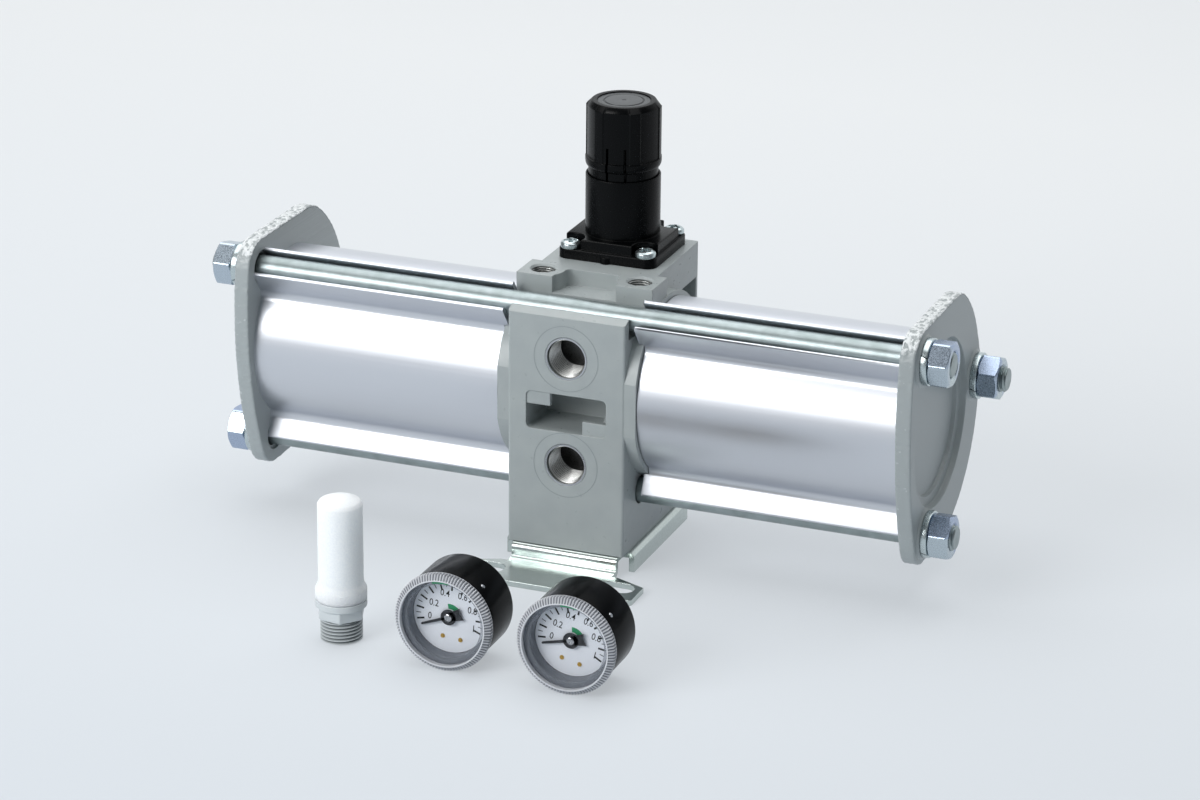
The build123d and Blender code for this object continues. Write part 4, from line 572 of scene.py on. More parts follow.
def plate_outline(columns):
    """Outline of an end plate at even angles: a chain of arcs, counterclockwise, that run into each
    other, whose distance from the middle is read off at each angle."""
    ear, rear_ear, bulge, disc, top_round = 12.0, 10.4, 147.6, 50.0, 20.0
    drop = UPPER_TIE[1] + ear - top_round
    shoulder = (math.sqrt((disc - top_round) ** 2 - drop ** 2), drop)
    upper, lower = np.array(UPPER_TIE), np.array(LOWER_TIE)
    half = np.linalg.norm(upper - lower) / 2
    inward = math.sqrt((bulge - ear) ** 2 - half ** 2) / half
    rise = (upper - lower) / 2
    front = (upper + lower) / 2 + inward * np.array([rise[1], -rise[0]])
    chain = [(front, bulge), (LOWER_TIE, ear), ((0, 0), disc), (REAR_TIE, rear_ear), ((0, 0), disc),
             (shoulder, top_round), (UPPER_TIE, ear)]
    joints = [tangent(a, b) for a, b in zip(chain, chain[1:] + chain[:1])]
    loop = []
    for index, (centre, radius) in enumerate(chain):
        first, last = joints[index - 1][1] - centre, joints[index][0] - centre
        start = math.atan2(first[1], first[0])
        turn = (math.atan2(last[1], last[0]) - start) % TURN
        loop.append(arc(centre, radius, math.degrees(start), math.degrees(start + turn), 60))
        share = np.linspace(0, 1, 60)[1:-1, None]
        loop.append(loop[-1][-1] * (1 - share) + joints[index][1] * share)
    dense = np.concatenate(loop)
    angle = np.arctan2(dense[:, 1], dense[:, 0])
    order = np.argsort(angle)
    reach = np.linalg.norm(dense[order], axis=1)
    t = around(columns)
    away = np.interp((t + math.pi) % TURN - math.pi, angle[order], reach, period=TURN)
    return at_angles(t, away)


def plate_part():
    """End plate from its inner face outwards, and how much each point belongs to the torn rim and its
    painted highlight.

    The outer face is a polar height field: nut pads rise 0.9, the round recess sinks 2.4 and then
    1.6 more, each over a steep wall. The rim is a skin of insets with rounded corners.
    """
    columns, inner, outer, edge = 720, TUBE_END, PLATE_OUTER, 0.8
    outline = plate_outline(columns)
    normal = side_normals(outline)
    rough = 0.10 * noise_line(columns, 5)[:, None]

    def ring(inset, x, wobble):
        return at_height(outline - (inset - wobble * rough) * normal, x)

    corner = [(edge * (1 - math.cos(a)), edge * (1 - math.sin(a))) for a in np.linspace(0, math.pi / 2, 5)]
    sides = ((inner + 1.6, 0.2), (inner + 2.6, 1.0), (inner + 3.4, -0.5), (outer - 1.5, 0.6))
    skin = [ring(inset, inner + rise, 1.0) for inset, rise in corner[::-1]]
    skin += [ring(0, x, wobble) for x, wobble in sides]
    skin += [ring(inset, outer - drop, 1.0) for inset, drop in corner]
    steep = [np.linspace(27.6, 28.6, 12), [29.2, 31.2], np.linspace(31.7, 32.9, 14)]
    radii = np.concatenate([[0, 12, 22, 27.0], *steep, [33.4]])
    inside = radii[:, None, None] * circle(1.0, columns)[None]
    share = np.linspace(0, 1, 48)[1:, None, None]
    outside = inside[-1][None] * (1 - share) + skin[-1][None, :, :2] * share
    face = np.concatenate([inside, outside])[::-1]
    distance = np.linalg.norm(face, axis=2)
    sink = -2.4 * smooth_step((32.6 - distance) / 0.5) - 1.6 * smooth_step((28.4 - distance) / 0.5)
    pad = np.zeros_like(distance)
    for place in TIE_PLACES:
        pad = np.maximum(pad, smooth_step((10.1 - np.linalg.norm(face - np.array(place), axis=2)) / 1.1))
    height = outer + sink * (1 - pad) + PAD_RISE * pad
    top = np.concatenate([face, height[:, :, None]], 2)
    under = lid(skin[0][:, :2], inner, [circle(7.0, 64, place) for place in TIE_PLACES])
    step, floor = inner + 1.2, inner + 4.5
    well = turned([(7.0, inner), (7.0, step), (5.6, step), (5.6, floor), (0, floor)], 64)
    wells = [placed(well, (*place, 0)) for place in TIE_PLACES]
    part = join(walls(skin), (top.reshape(-1, 3), grid_faces(len(face), columns, wrap=True)), under, *wells)
    # More of the rim counts on its upper side: a painted highlight where the top light falls, over the torn
    # paint.
    upper = 0.35 + 0.65 * smooth_step((normal[:, 1] - 0.3) / 0.4)
    shares = [0.3] + [1.0] * (len(skin) - 2) + [0.0]
    torn = np.concatenate([share * upper for share in shares])
    return part, np.concatenate([torn, np.zeros(len(part[0]) - len(torn))])


def rod_part(low, high):
    """A tie rod from tip to tip, its last turns threaded and chamfered."""
    shank, major, pitch, cut, threaded = 4.95, 5.0, 1.5, 0.4, 9.0
    tips = []
    for tip in (high, -low):
        thread = thread_part(major, 0.85, pitch, tip - threaded, tip, 64, 12, end_chamfer=0.9)
        tips.append(join(thread, turned([(major - 0.9, tip), (major - 1.3, tip), (0, tip)], 64)))
    start, end = low + threaded, high - threaded
    bar = turned([(0, start), (major - cut, start), (major - cut, -132.0), (shank, -131.6), (shank, 131.6),
                  (major - cut, 132.0), (major - cut, end), (0, end)], 64)
    return join(tips[0], bar, upside_down(tips[1]))


def hexagon_radius(t, flats, soft):
    """Distance to a hexagon's side at angle t, cut off by a circle so that its corners are blunt."""
    side = flats / 2 / np.cos((t + math.pi / 6) % (math.pi / 3) - math.pi / 6)
    return np.minimum(side, flats / math.sqrt(3) - soft)


def nut_part():
    """Hexagon nut: r = min(hexagon, cone); the cones cut curved edges into the flats at both faces."""
    flats, height, hole, columns = 16.0, 8.0, 5.0, 216
    slope = math.tan(math.radians(30))
    face = flats / 2 * 0.95
    drop = (flats / math.sqrt(3) - face) * slope
    z = np.concatenate([np.linspace(0, drop, 10), np.linspace(drop, height - drop, 5)[1:-1],
                        np.linspace(height - drop, height, 10)])
    cone = face + np.minimum(z, height - z) / slope
    side = np.minimum(hexagon_radius(around(columns), flats, 0.22)[None, :], cone[:, None])
    inner = np.array([[face - 0.15, height], [hole + 0.7, height], [hole + 0.1, height - 0.6],
                      [hole - 0.1, height - 2.2], [hole - 0.1, 0.6], [hole + 0.5, 0.0], [face - 0.15, 0.0]])
    radius = np.concatenate([side, np.repeat(inner[:, :1], columns, 1), side[:1]])
    heights = [np.repeat(rows, columns, 1) for rows in (z[:, None], inner[:, 1:], np.zeros((1, 1)))]
    return field(radius, np.concatenate(heights), columns)


def nut_tint(part, turn, seed):
    """How bluish each point of a turned nut is: one value for each of its six flats."""
    angle = np.arctan2(part[0][:, 1], part[0][:, 0]) - turn
    flat = np.floor((angle + math.pi / 6) / (math.pi / 3)).astype(int) % 6
    return np.random.default_rng(seed).uniform(0, 1, 6)[flat]


def washer_part():
    """Split washer: a rounded square section swept round, its two ends leaning with the slit."""
    inner, outer, thick, opening, lean = 5.2, 9.0, WASHER, 0.5 / 9.0, math.radians(25.0)
    section = rectangle(outer - inner, thick, 0.35, 3, ((inner + outer) / 2, thick / 2))
    s = np.linspace(0, 1, 97)[:, None]
    r, z = section[None, :, 0], section[None, :, 1]
    t = opening / 2 + s * (TURN - opening) + (z - thick / 2) * math.tan(lean) / r
    return swept(about_z(r, t, z + 0 * t))


def pan_head_part(turn):
    """Pan head on a polar grid: z = rim + dome, less a cross that sinks with steep sides."""
    radius, height, shank, depth, columns = 4.0, 2.9, 2.0, 12.0, 120
    t = around(columns)
    s = np.linspace(0, 1, 26)[:, None]
    rim = 0.42 * height
    r = radius * s + 0 * t
    x, y = np.abs(r * np.cos(t - turn)), np.abs(r * np.sin(t - turn))
    dome = rim + (height - rim) * np.sqrt(np.clip(1 - (s / 1.02) ** 2.6, 0, 1)) + 0 * t
    half_width, half_length = 0.13 * radius + 0.12, 0.60 * radius
    cross = np.maximum(within(y, half_width, 0.22) * within(x, half_length, 0.5),
                       within(x, half_width, 0.22) * within(y, half_length, 0.5))
    side = np.array([[radius, 0.3], [radius - 0.2, 0.0], [shank, 0.0], [shank, -depth], [0.0, -depth]])
    radii = np.concatenate([r, np.repeat(side[:, :1], columns, 1)])
    heights = np.concatenate([dome - 0.62 * height * cross, np.repeat(side[:, 1:], columns, 1)])
    return field(radii, heights, columns)


def bonnet_part():
    """Moulded bonnet: flat foot, a step notched round the screws, and a barrel with a thin rim."""
    foot = rectangle(40.0, 37.4, 4.0, 8)
    step_x, step_y, spot, notch = 18.8, 17.5, SCREW_SPOT, 5.4
    side_y = spot - math.sqrt(notch ** 2 - (step_x - spot) ** 2)
    side_x = spot - math.sqrt(notch ** 2 - (step_y - spot) ** 2)
    start = math.degrees(math.atan2(side_y - spot, step_x - spot))
    end = math.degrees(math.atan2(step_y - spot, side_x - spot)) - 360
    bite = arc((spot, spot), notch, start, end, 14)
    outline = np.concatenate([bite, (bite * (-1, 1))[::-1], bite * (-1, -1), (bite * (1, -1))[::-1]])
    barrel = lathe([(0, 6.0), (14.5, 6.0), (14.5, 31.4, 0.25), (13.8, 31.4, 0.25), (13.8, 29.9, 0.1),
                    (9.5, 29.9, 0.3), (9.5, 43.4, 0.6), (0, 43.4)], 4, 160)
    nub = placed(slab(circle(2.2, 40), 0.0, 2.6, 0.4), (0, -17.6, 0))
    part = join(slab(foot, 0.0, 4.0, 0.5), nub, slab(outline, 3.5, 8.0, 0.5), barrel)
    return placed(part, (0, REGULATOR_Y, BLOCK_TOP))


def knob_part():
    """Pull up knob: a short neck, a rounded foot, six shallow panels between lands and two slits.

    Across a panel the surface is a circle of radius 23.3 about a centre 9.55 behind the axis;
    r is the smaller of the turned profile and that panel, blended over 0.3 mm at its sides. A plain
    cup closes the knob from below round the bonnet's spigot.
    """
    base, grip_radius, bend, behind = 141.2, 14.5, 23.3, 9.55
    quarter = np.linspace(0, math.pi / 2, 9)
    foot = np.stack([13.5 + 1.2 * np.sin(quarter), 145.6 + 2.3 * (1 - np.cos(quarter))], -1)
    neck = [(12.9, base), (13.5, base + 0.6), (13.5, 144.0), (13.5, 145.5)]
    grip = np.stack([np.full(100, grip_radius), np.linspace(149.5, 169.2, 100)], -1)
    crown = rounded([(grip_radius, 169.2), (grip_radius, 169.4), (12.3, 171.5), (10.35, 171.5),
                     (10.2, 171.2), (10.2, 170.2)], [0, 0.5, 0.35, 0.15, 0, 0], 5)
    profile = np.concatenate([neck, foot, [(14.7, 148.9), (14.68, 149.2)], grip, crown[1:]])
    r, z = profile[:, :1], profile[:, 1:]
    columns = 720
    t = around(columns) - math.radians(-81)     # the slits face the front, a little to the left
    local = (t + math.pi / 6) % (math.pi / 3) - math.pi / 6
    panel = np.sqrt(bend ** 2 - (behind * np.sin(local)) ** 2) - behind * np.cos(local)
    panelled = within(14.3 * np.abs(np.sin(local)), 5.2, 0.3) * within(-z, -149.4, 0.25) * (r > 10.5)
    wide = np.where(r > panel, r * (1 - panelled) + panel * panelled, r)
    slit = within(np.abs(np.abs(r * np.sin(t)) - 3.6), 0.40, 0.12)
    slit = slit * (np.cos(t) > 0) * within(z, 155.2, 0.3) * (z > base)
    hollow = turned([(12.9, base), (9.8, base), (9.8, 168.3), (0, 168.3)], 120)
    return placed(join(field(wide - 2.0 * slit, z + 0 * t, columns), hollow), (0, REGULATOR_Y, 0))


def cap_part():
    """Round insert in the knob's top: a flat ring, a fine groove and a disc with a centre dot."""
    top, groove, disc = 171.2, 170.7, 171.08
    insert = lathe([(0, top - 0.25), (0.7, top - 0.25, 0.1), (0.9, top, 0.1), (7.2, top, 0.12),
                    (7.45, groove, 0.1), (7.75, groove, 0.1), (8.0, disc, 0.12), (10.1, disc, 0.12),
                    (10.2, top - 0.3, 0.05), (10.2, 170.5), (0, 170.5)])
    return placed(insert, (0, REGULATOR_Y, 0))


def silencer_base_part():
    """Pipe thread, wrench hexagon and collar, standing on the thread, and how deep each point lies
    in the thread's groove."""
    radius, depth, columns = 7.9, 0.95, 240
    thread = thread_part(radius, depth, PIPE_PITCH, 0.5, 8.6, 120, 16, start_fade=0.4)
    foot = turned([(0, 0.0), (6.9, 0.0), (7.3, 0.5)], 120)
    z = np.array([8.6, 9.0, 9.0, 9.2, 9.6, 12.8, 13.1, 13.2])[:, None]
    wide = np.array([-0.1, 0.0, 0.75, 0.92, 1.0, 1.0, 0.95, 0.8])[:, None]
    flats = np.minimum(hexagon_radius(around(columns) - math.radians(20.8), 16.0, 0.1), 9.15)
    hexagon = field(7.2 + (flats - 7.2) * wide, z + np.zeros(columns), columns)
    collar = lathe([(0, 13.2), (9.2, 13.2, 0.2), (9.6, 13.6, 0.2), (9.6, 15.7, 0.15), (9.4, 16.0, 0.1),
                    (0, 16.0)])
    rest = np.zeros(len(hexagon[0]) + len(collar[0]))
    # The groove's depth darkens the plastic there: painted shade.
    groove = np.concatenate([np.zeros(len(foot[0])), groove_share(thread, radius, depth), rest])
    return placed(join(foot, thread, hexagon, collar), (*SILENCER, 0)), groove


def silencer_element_part():
    """Porous tube: a rough bulged foot, a shoulder and a long cylinder with a domed end."""
    columns = 180
    corners = [(0, 16.0), (9.2, 16.0), (9.65, 16.8), (9.65, 20.3), (9.0, 21.6), (8.5, 22.7), (8.4, 24.0),
               (8.35, 53.4), (7.6, 54.6), (4.0, 56.1), (0, 56.5)]
    profile = rounded(corners, [0, 0.3, 0.8, 1.0, 0, 0.8, 2, 0.8, 1.0, 5, 0], 5)
    rows = []
    for first, last in zip(profile, profile[1:]):
        steps = max(1, int(np.linalg.norm(last - first) / 0.5))
        rows.append(first + (last - first) * np.arange(steps)[:, None] / steps)
    profile = np.concatenate(rows + [profile[-1:]])
    grains = np.random.default_rng(11).uniform(-1, 1, (len(profile), columns))
    grains = (grains + np.roll(grains, 1, 1) + np.roll(grains, 1, 0)) / 3
    r, z = profile[:, :1], profile[:, 1:]
    depth = 0.03 + 0.15 * smooth_step((22.5 - z) / 2) * smooth_step((z - 15.8) / 1)
    return placed(field(r + (grains - 0.6) * depth * (r > 7), z + 0 * grains, columns), (*SILENCER, 0))


def gauge_frame(part, place):
    """Puts a gauge's piece, drawn face up with its depth along -Z, upright and facing the front."""
    x, y, roll = place
    c, s = math.cos(math.radians(roll)), math.sin(math.radians(roll))
    return placed(part, (x, y, GAUGE_HEIGHT), (c, 0, -s), (s, 0, c), (0, -1, 0))


def gauge_rim_part():
    """Clear rim that widens to the back, its cone cut with 100 fine teeth, and how deep each point lies.

    On the cone r = profile - 0.55 (1 - |2 p - 1|), p the place within one tooth.
    """
    teeth, columns = 100, 100 * 8
    t = np.arange(columns) / columns
    tooth = 1 - np.abs(2 * ((t * teeth) % 1.0) - 1)
    corners = [(16.4, -2.8), (16.4, -2.2), (16.9, -2.2), (17.1, -2.4), (18.85, -3.6), (19.0, -3.8),
               (19.0, -5.6), (18.9, -5.7), (17.32, -5.7), (17.32, -4.6), (16.8, -4.0), (16.4, -4.0),
               (16.4, -2.8)]
    profile = rounded(corners, [0, 0.1, 0.1, 0.1, 0.1, 0.1, 0.1, 0.05, 0.05, 0.1, 0.1, 0, 0], 3)
    r, z = profile[:, :1], profile[:, 1:]
    # The groove's depth also sets the teeth's colour: painted shade in the grooves, a painted highlight on
    # the ridges.
    depth = ((r > 17.05) & (z < -2.3) & (z > -5.65)) * tooth
    return field(r - 0.55 * depth, z + 0 * t, columns), depth.ravel()


def gauge_window_part():
    """The clear window inside the rim: 1.1 thick, its middle 0.5 lower than the bead round it."""
    return lathe([(0, -2.9), (14.9, -2.9, 0.3), (15.3, -2.4, 0.3), (16.4, -2.4, 0.1), (16.4, -4.0),
                  (0, -4.0)], 4)


def gauge_spigot_part():
    """The clear ring behind the window that reaches down to the dial."""
    return lathe([(14.28, -9.9), (14.28, -5.0, 0.1), (14.6, -4.7, 0.2), (17.2, -4.7, 0.1), (17.2, -9.9),
                  (14.28, -9.9)])


def gauge_case_part():
    """Black case: a cup behind the rim, its back edge rounded."""
    return lathe([(0, -25.0), (12.8, -25.0, 1), (12.8, -10.5, 0.1), (17.26, -10.5, 0.1), (17.26, -6.0, 0.1),
                  (18.3, -6.0, 0.2), (18.3, -26.5, 1.2), (4.0, -26.5), (0, -26.5)], 5, 180)


def gauge_plug_part():
    """The bright plug in the case's filling hole: a small disc that stands 0.2 out of the wall."""
    disc = lathe([(0, 0.35), (0.6, 0.35, 0.3), (0.9, 0.1, 0.1), (0.9, -0.8)], 3, 32)
    a = math.radians(52)
    out = (math.cos(a), math.sin(a), 0)
    return placed(disc, (18.2 * out[0], 18.2 * out[1], -11.5), (-out[1], out[0], 0), (0, 0, 1), out)


def dial_part():
    """The dial: a flat disc 0.5 thick with a hole for the pointer's shaft."""
    return turned([(1.3, -10.5), (14.2, -10.5), (14.2, -10.0), (1.3, -10.0), (1.3, -10.5)], 120)


def dial_mark(angle, inner, outer, width):
    """A printed stroke on the dial, at an angle from the right round to the left."""
    half = width / 2
    corners = np.array([(inner, -half), (outer, -half), (outer, half), (inner, half)])
    return at_height(corners @ turning(math.radians(angle)), DIAL), [[0, 1, 2, 3]]


def dial_band(start, end, inner, outer, height):
    """A printed band between two angles and two radii."""
    rows = [at_height(arc((0, 0), radius, start, end, 16), height) for radius in (inner, outer)]
    return np.concatenate(rows), grid_faces(2, 17)


def printed_text(text, size, x, y):
    """Flat lettering centred at (x, y) on the dial, taken from Blender's own font as a mesh."""
    curve = bpy.data.curves.new("print", "FONT")
    curve.body, curve.size = text, size
    curve.align_x, curve.align_y = "CENTER", "CENTER"
    curve.resolution_u = 3
    curve.offset = 0.022
    thing = shown("print", curve)
    bpy.context.view_layer.update()
    mesh = bpy.data.meshes.new_from_object(thing)
    points = np.array([v.co[:] for v in mesh.vertices]) * (0.82, 1, 1) + np.array([x, y, DIAL])
    faces = [list(face.vertices) for face in mesh.polygons]
    bpy.data.objects.remove(thing)
    bpy.data.meshes.remove(mesh)
    bpy.data.curves.remove(curve)
    return points, faces


def dial_prints():
    """Scale of the dial: long strokes every tenth from 197.5 degrees clockwise, short ones between."""
    first, step = 197.5, 21.5
    strokes = []
    for index in range(11):
        strokes.append(dial_mark(first - step * index, 10.2, 13.2, 0.7))
        if index < 10:
            strokes.append(dial_mark(first - step * (index + 0.5), 11.4, 13.2, 0.3))
    numbers = {"0": (7.9, 192.5), "0.2": (7.5, 150), "0.4": (9.0, 106.5), "0.6": (9.9, 63.5),
               "0.8": (9.6, 26.5), "1": (10.0, -15)}
    for text, (away, angle) in numbers.items():
        a = math.radians(angle)
        strokes.append(printed_text(text, 3.8, away * math.cos(a), away * math.sin(a)))
    return join(*strokes)


def pointer_part():
    """Pointer: a slim arm, a round hub and a wide tail with a hollow end, 0.5 thick, and its cap."""
    low, high = -9.1, -8.6
    arm = slab(np.concatenate([[(0, -0.55)], arc((11.1, 0), 0.4, -90, 90, 8), [(0, 0.55)]]), low, high)
    hollow = arc((-8.6, 0), 3.7, -38, 38, 8)
    tail = slab(np.concatenate([[(0, 1.6)], hollow[::-1], [(0, -1.6)]]), low, high)
    cap = lathe([(1.6, high), (1.5, -8.1, 0.2), (1.0, -7.9, 0.2), (0.5, -7.9, 0.1), (0.4, -8.1, 0.1),
                 (0, -8.1)], 3, 48)
    return spun(join(arm, slab(circle(3.0, 48), low, high), tail), math.radians(206.4)), cap


def stem_part():
    """Brass connection at the back: a short neck and a taper pipe thread."""
    neck = turned([(0, -25.0), (3.5, -25.0), (3.5, -26.8), (4.4, -26.8), (4.4, -28.0)], 72)
    thread = thread_part(4.7, 0.45, GAUGE_PITCH, 28.0, 36.5, 72, 10, end_chamfer=0.7)
    end = turned([(4.0, -36.5), (1.5, -36.5), (1.5, -30.0), (0, -30.0)], 72)
    return join(neck, upside_down(thread), end)


def port_lining(place, direction, radius, depth, pitch):
    """Threaded bore: a screw surface seen from inside, from the port's mouth to its floor, and how far
    each of its points lies out in a groove."""
    cut = 0.8 * radius / 7.9
    bore = thread_part(radius, cut, pitch, 0.7, depth, 120, 14)
    floor = turned([(radius - 0.3, depth), (0, depth)], 120)
    # The grooves and the floor carry the blend that paints them dark as shade.
    groove = np.concatenate([1 - groove_share(bore, radius, cut), np.full(len(floor[0]), 0.8)])
    y_dir = (0, -1, 0) if direction[2] else (0, 0, -direction[1])
    return placed(join(bore, floor), place, (1, 0, 0), y_dir, direction), groove


def front_rings(inner, outer, height):
    """Flat rings round the two front ports, proud of the casting by their height."""
    ring = slab(circle(outer, 120), 0.0, height, holes=[circle(inner, 120)])
    facing = {"y_dir": (0, 0, 1), "z_dir": (0, -1, 0)}
    return join(*[placed(ring, (0, -BLOCK_FRONT, z), **facing) for z in (INLET, OUTLET)])


def spring_part(radius, wire, low, high, turns):
    """Compression spring: a wire along (R cos t, R sin t, z(t)). Its first and last turns lie almost
    flat on themselves, so z rises by 1.05 wires there and evenly between."""
    t = np.linspace(0, turns + 2, 36 * (turns + 2) + 1)[:, None]
    ends = [low + 0.5 * wire, low + 1.55 * wire, high - 1.55 * wire, high - 0.5 * wire]
    z = np.interp(t, [0, 1, turns + 1, turns + 2], ends)
    a = around(12)
    return swept(about_z(radius + wire / 2 * np.cos(a), t * TURN, z + wire / 2 * np.sin(a)))


# Tubes and end plates
tube = tube_part()
plate, torn_rim_and_highlight = plate_part()
for side, sign in (("left", -1), ("right", 1)):
    piece(f"ribbed_tube_{side}", along_x(tube, sign), aluminium, "housing",
          [f"tube_{side}"])
    piece(f"plate_{side}", along_x(plate, sign), rim_paint_and_highlight, "housing",
          [f"end_plate_{side}"], blend=torn_rim_and_highlight)

# Tie rods: place, ends, and the turns in degrees of the nut and the washer's slit, right and left
rods = {
    "rear": (REAR_TIE, (-147.6, 151.1), ((8, 200), (3, 190))),
    "upper": (UPPER_TIE, (-150.6, 148.8), ((22, 150), (17, 205))),
    "lower": (LOWER_TIE, (-149.2, 150.0), ((14, 216), (27, 240))),
}
nut, washer = nut_part(), washer_part()
nuts, washers, tints = [], [], []
for rod, (place, ends, turns) in rods.items():
    bar = along_x(rod_part(*ends), place=place)
    piece(f"rod_{rod}", bar, zinc_bar, "housing", [f"tie_rod_{rod}"])
    for sign, (nut_turn, slit_turn) in zip((1, -1), turns):
        turn = math.radians(nut_turn)
        turned_nut = spun(nut, turn)
        tints.append(nut_tint(turned_nut, turn, 3 + len(tints)))
        nuts.append(along_x(turned_nut, sign, sign * (PLATE_OUTER + PAD_RISE + WASHER), place))
        turned_washer = spun(washer, math.radians(slit_turn))
        washers.append(along_x(turned_washer, sign, sign * (PLATE_OUTER + PAD_RISE), place))
piece("nuts", join(*nuts), zinc, "housing", ["tie_rod_nuts"], 28.0, np.concatenate(tints))
piece("split_washers", join(*washers), zinc, "housing", ["spring_washers"], 40.0)

# Regulator
piece("regulator_bonnet", bonnet_part(), black, "housing", ["bonnet"])
heads = []
for a, b, turn in ((-1, -1, 20), (1, -1, 65), (-1, 1, 35), (1, 1, 80)):
    spot = (a * SCREW_SPOT, REGULATOR_Y + b * SCREW_SPOT, BLOCK_TOP + 4.0)
    heads.append(placed(pan_head_part(math.radians(turn)), spot))
piece("bonnet_screw_heads", join(*heads), zinc, "housing", ["bonnet_screws"], 40.0)
piece("pull_knob", knob_part(), black, "knob_body", ["knob"], 40.0)
piece("knob_insert", cap_part(), cap_plastic, "knob_body", ["knob_cap"])

# Springs inside the regulator, which shorten as the nut or the poppet comes down on them, drawn here at
# one length: mean radius, wire and turns, the joint and its travel
springs = {"regulator_spring": (7.6, 2.0, 3, "seat_nut_travel", 5.0),
           "governor_spring": (3.0, 0.6, 4, "poppet_lift", 1.5)}
for node, (radius, wire, turns, joint, travel) in springs.items():
    low, high = [1000 * corner[2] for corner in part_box(node)]
    wound = placed(spring_part(radius, wire, low, high, turns), (0, REGULATOR_Y, 0))
    coil = piece(f"{node}_coil", wound, spring_wire, "housing", [node], 40.0)
    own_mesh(coil)

# Silencer
fitting, fitting_groove = silencer_base_part()
piece("silencer_fitting", fitting, grey_plastic, "housing", ["silencer_base"],
      blend=fitting_groove)
element = silencer_element_part()
piece("silencer_tube", element, porous, "housing", ["silencer_element"], 60.0)

# Gauges: each piece's name, part, material, body, slot and the CAD node that it replaces
bezel, bezel_groove = gauge_rim_part()
green_marks = join(dial_band(40, 104, 2.9, 4.9, DIAL), dial_band(88, 112, 14.9, 16.2, -4.3))
hand, hand_cap = pointer_part()
gauge_pieces = [
    ("bezel", bezel, toothed, "housing", "clear_plastic", "rim"),
    ("spigot", gauge_spigot_part(), clear, "housing", "clear_plastic", None),
    ("plug", gauge_plug_part(), steel, "housing", "black_gloss", None),
    ("window", gauge_window_part(), window, "housing", "clear_plastic", None),
    ("cup", gauge_case_part(), gloss, "housing", "black_gloss", "case"),
    ("face", dial_part(), dial_print, "housing", "dial_white", "dial"),
    ("scale", dial_prints(), ink, "housing", "dial_white", None),
    ("green_marks", green_marks, green_ink, "housing", "dial_white", None),
    ("hand", hand, pointer_paint, "pointer", "pointer_grey", "pointer"),
    ("hand_cap", hand_cap, steel, "pointer", "pointer_grey", None),
    ("neck", stem_part(), brass, "housing", "brass", "stem"),
]
for side, place in GAUGE_PLACES.items():
    for name, part, material, body, slot, node in gauge_pieces:
        body = f"pointer_{side}" if body == "pointer" else body
        nodes = [f"gauge_{side}_{node}"] if node else []
        sharp, groove = (25.0, bezel_groove) if name == "bezel" else (32.0, None)
        piece(f"gauge_{side}_{name}", gauge_frame(part, place), material, body, nodes, sharp, groove)

# Threads in the casting's ports, thin darker rings round the front ports, and the ports' bright mouths
linings = []
for sign, z in ((1, INLET), (1, OUTLET), (-1, EXHAUST)):
    linings.append(port_lining((0, -sign * BLOCK_FRONT, z), (0, sign, 0), PIPE_RADIUS, 13.6, PIPE_PITCH))
for x in (-GAUGE_PORT[0], GAUGE_PORT[0]):
    linings.append(port_lining((x, GAUGE_PORT[1], BLOCK_TOP), (0, 0, -1), 4.62, 8.6, GAUGE_PITCH))
port_parts, port_grooves = zip(*linings)
piece("port_threads", join(*port_parts), cut_thread, "housing", (), 50.0,
      np.concatenate(port_grooves))
piece("port_spot_faces", front_rings(12.85, 13.1, 0.06), mark_paint, "housing")
piece("port_mouths", front_rings(7.75, 8.4, 0.05), steel, "housing")

# Materials of the CAD nodes: those that keep their own shape, and the two springs under their coils
node_materials = [
    (paint, "body_casting"), (sheet_zinc, "bracket"), (white_plastic, "wear_rings"), (bronze, "rod_bush"),
    (zinc, "bracket_screws piston_nuts diaphragm_plate adjusting_screw"),
    (rubber, "tube_gaskets rod_seals inlet_check_discs outlet_check_discs sleeve_o_rings piston_seals "
             "diaphragm"),
    (steel, "check_retainers switch_spool piston_rod"), (machined, "valve_sleeve piston_left piston_right"),
    (spring_wire, "governor_spring regulator_spring"),
    (brass, "sleeve_end_bushes governor_seat governor_valve spring_seat gauge_left_bourdon_tube "
            "gauge_right_bourdon_tube gauge_left_dial_screws gauge_right_dial_screws"),
]
for material, nodes in node_materials:
    for node in nodes.split():
        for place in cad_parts[node].material_slots:
            place.material = material


# Studio: a pale floor that curves up behind, soft lamps above and in front

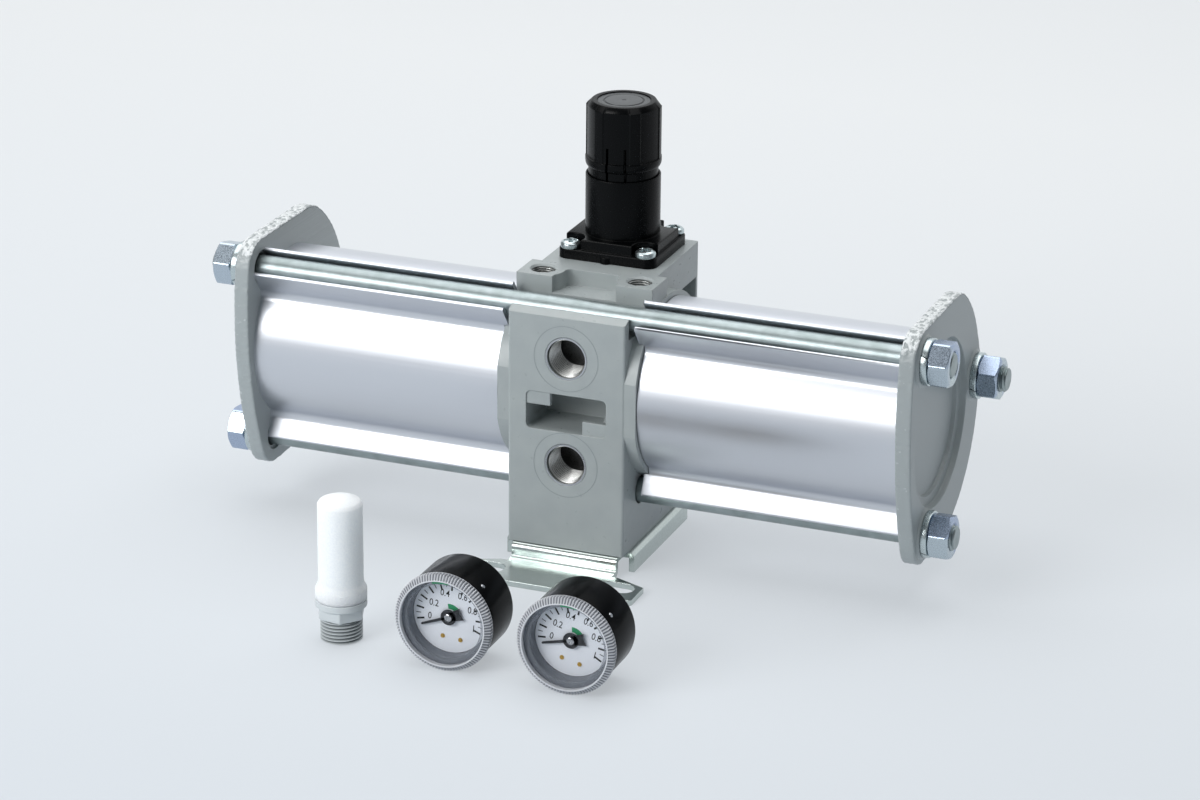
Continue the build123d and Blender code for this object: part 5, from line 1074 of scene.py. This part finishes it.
def stage_floor():
    """A sweep: flat floor, a quarter round far behind, then an upright wall."""
    bend = arc((1500.0, 1200.0), 1200.0, -90, 0, 16)
    line = np.concatenate([[(-4000.0, 0.0)], [(1500.0, 0.0)], bend[1:], [(2700.0, 5000.0)]])
    points = [np.column_stack([np.full(len(line), x), line]) for x in (-4500.0, 4500.0)]
    mesh = bpy.data.meshes.new("studio_floor")
    mesh.from_pydata((np.concatenate(points) * 0.001).tolist(), [], grid_faces(2, len(line)))
    mesh.shade_smooth()
    thing = shown("studio_floor", mesh, studio_paper())


def lamp(name, place, target, size, power):
    """A soft rectangular lamp at a place, turned to a target, both in millimetres; power in watts."""
    light = bpy.data.lights.new(name, "AREA")
    light.shape = "RECTANGLE"
    light.size, light.size_y = size[0] * 0.001, size[1] * 0.001
    light.energy = power
    start, end = Vector(place) * 0.001, Vector(target) * 0.001
    aim = (end - start).to_track_quat("-Z", "Y").to_matrix().to_4x4()
    shown(name, light).matrix_world = Matrix.Translation(start) @ aim


stage_floor()
lamp("top softbox", (-220, 380, 1300), (-220, 380, 0), (1700, 1600), 17)
lamp("front left softbox", (-800, -1400, 850), (0, 0, 60), (1150, 750), 20)

world = bpy.data.worlds.new("studio air")
world.use_nodes = True
bpy.context.scene.world = world
background = world.node_tree.nodes["Background"]
background.inputs["Color"].default_value = linear("E4E9EC")
background.inputs["Strength"].default_value = 0.27


def camera():
    """The photograph's own view point, found from the sizes of the rods, plates and ports."""
    yaw, pitch, roll = math.radians(21.433), math.radians(20.963), math.radians(0.509)
    back = np.array([math.sin(yaw) * math.cos(pitch), -math.cos(yaw) * math.cos(pitch), math.sin(pitch)])
    right = np.cross(-back, (0, 0, 1))
    right /= np.linalg.norm(right)
    up = np.cross(right, -back)
    c, s = math.cos(roll), math.sin(roll)
    right, up = c * right + s * up, c * up - s * right
    eye = 0.129 * right - 10.464 * up + 1581.56 * back + np.array([0, 0, AXIS_HEIGHT])
    data = bpy.data.cameras.new("camera")
    data.lens, data.sensor_width, data.sensor_fit = 123.16, 36.0, "HORIZONTAL"
    data.clip_start, data.clip_end = 0.05, 50.0
    matrix = np.eye(4)
    matrix[:3] = np.stack([right, up, back, eye * 0.001], 1)
    thing = shown("camera", data)
    thing.matrix_world = Matrix(matrix.tolist())
    bpy.context.scene.camera = thing


camera()
bpy.context.scene.view_settings.view_transform = "Standard"
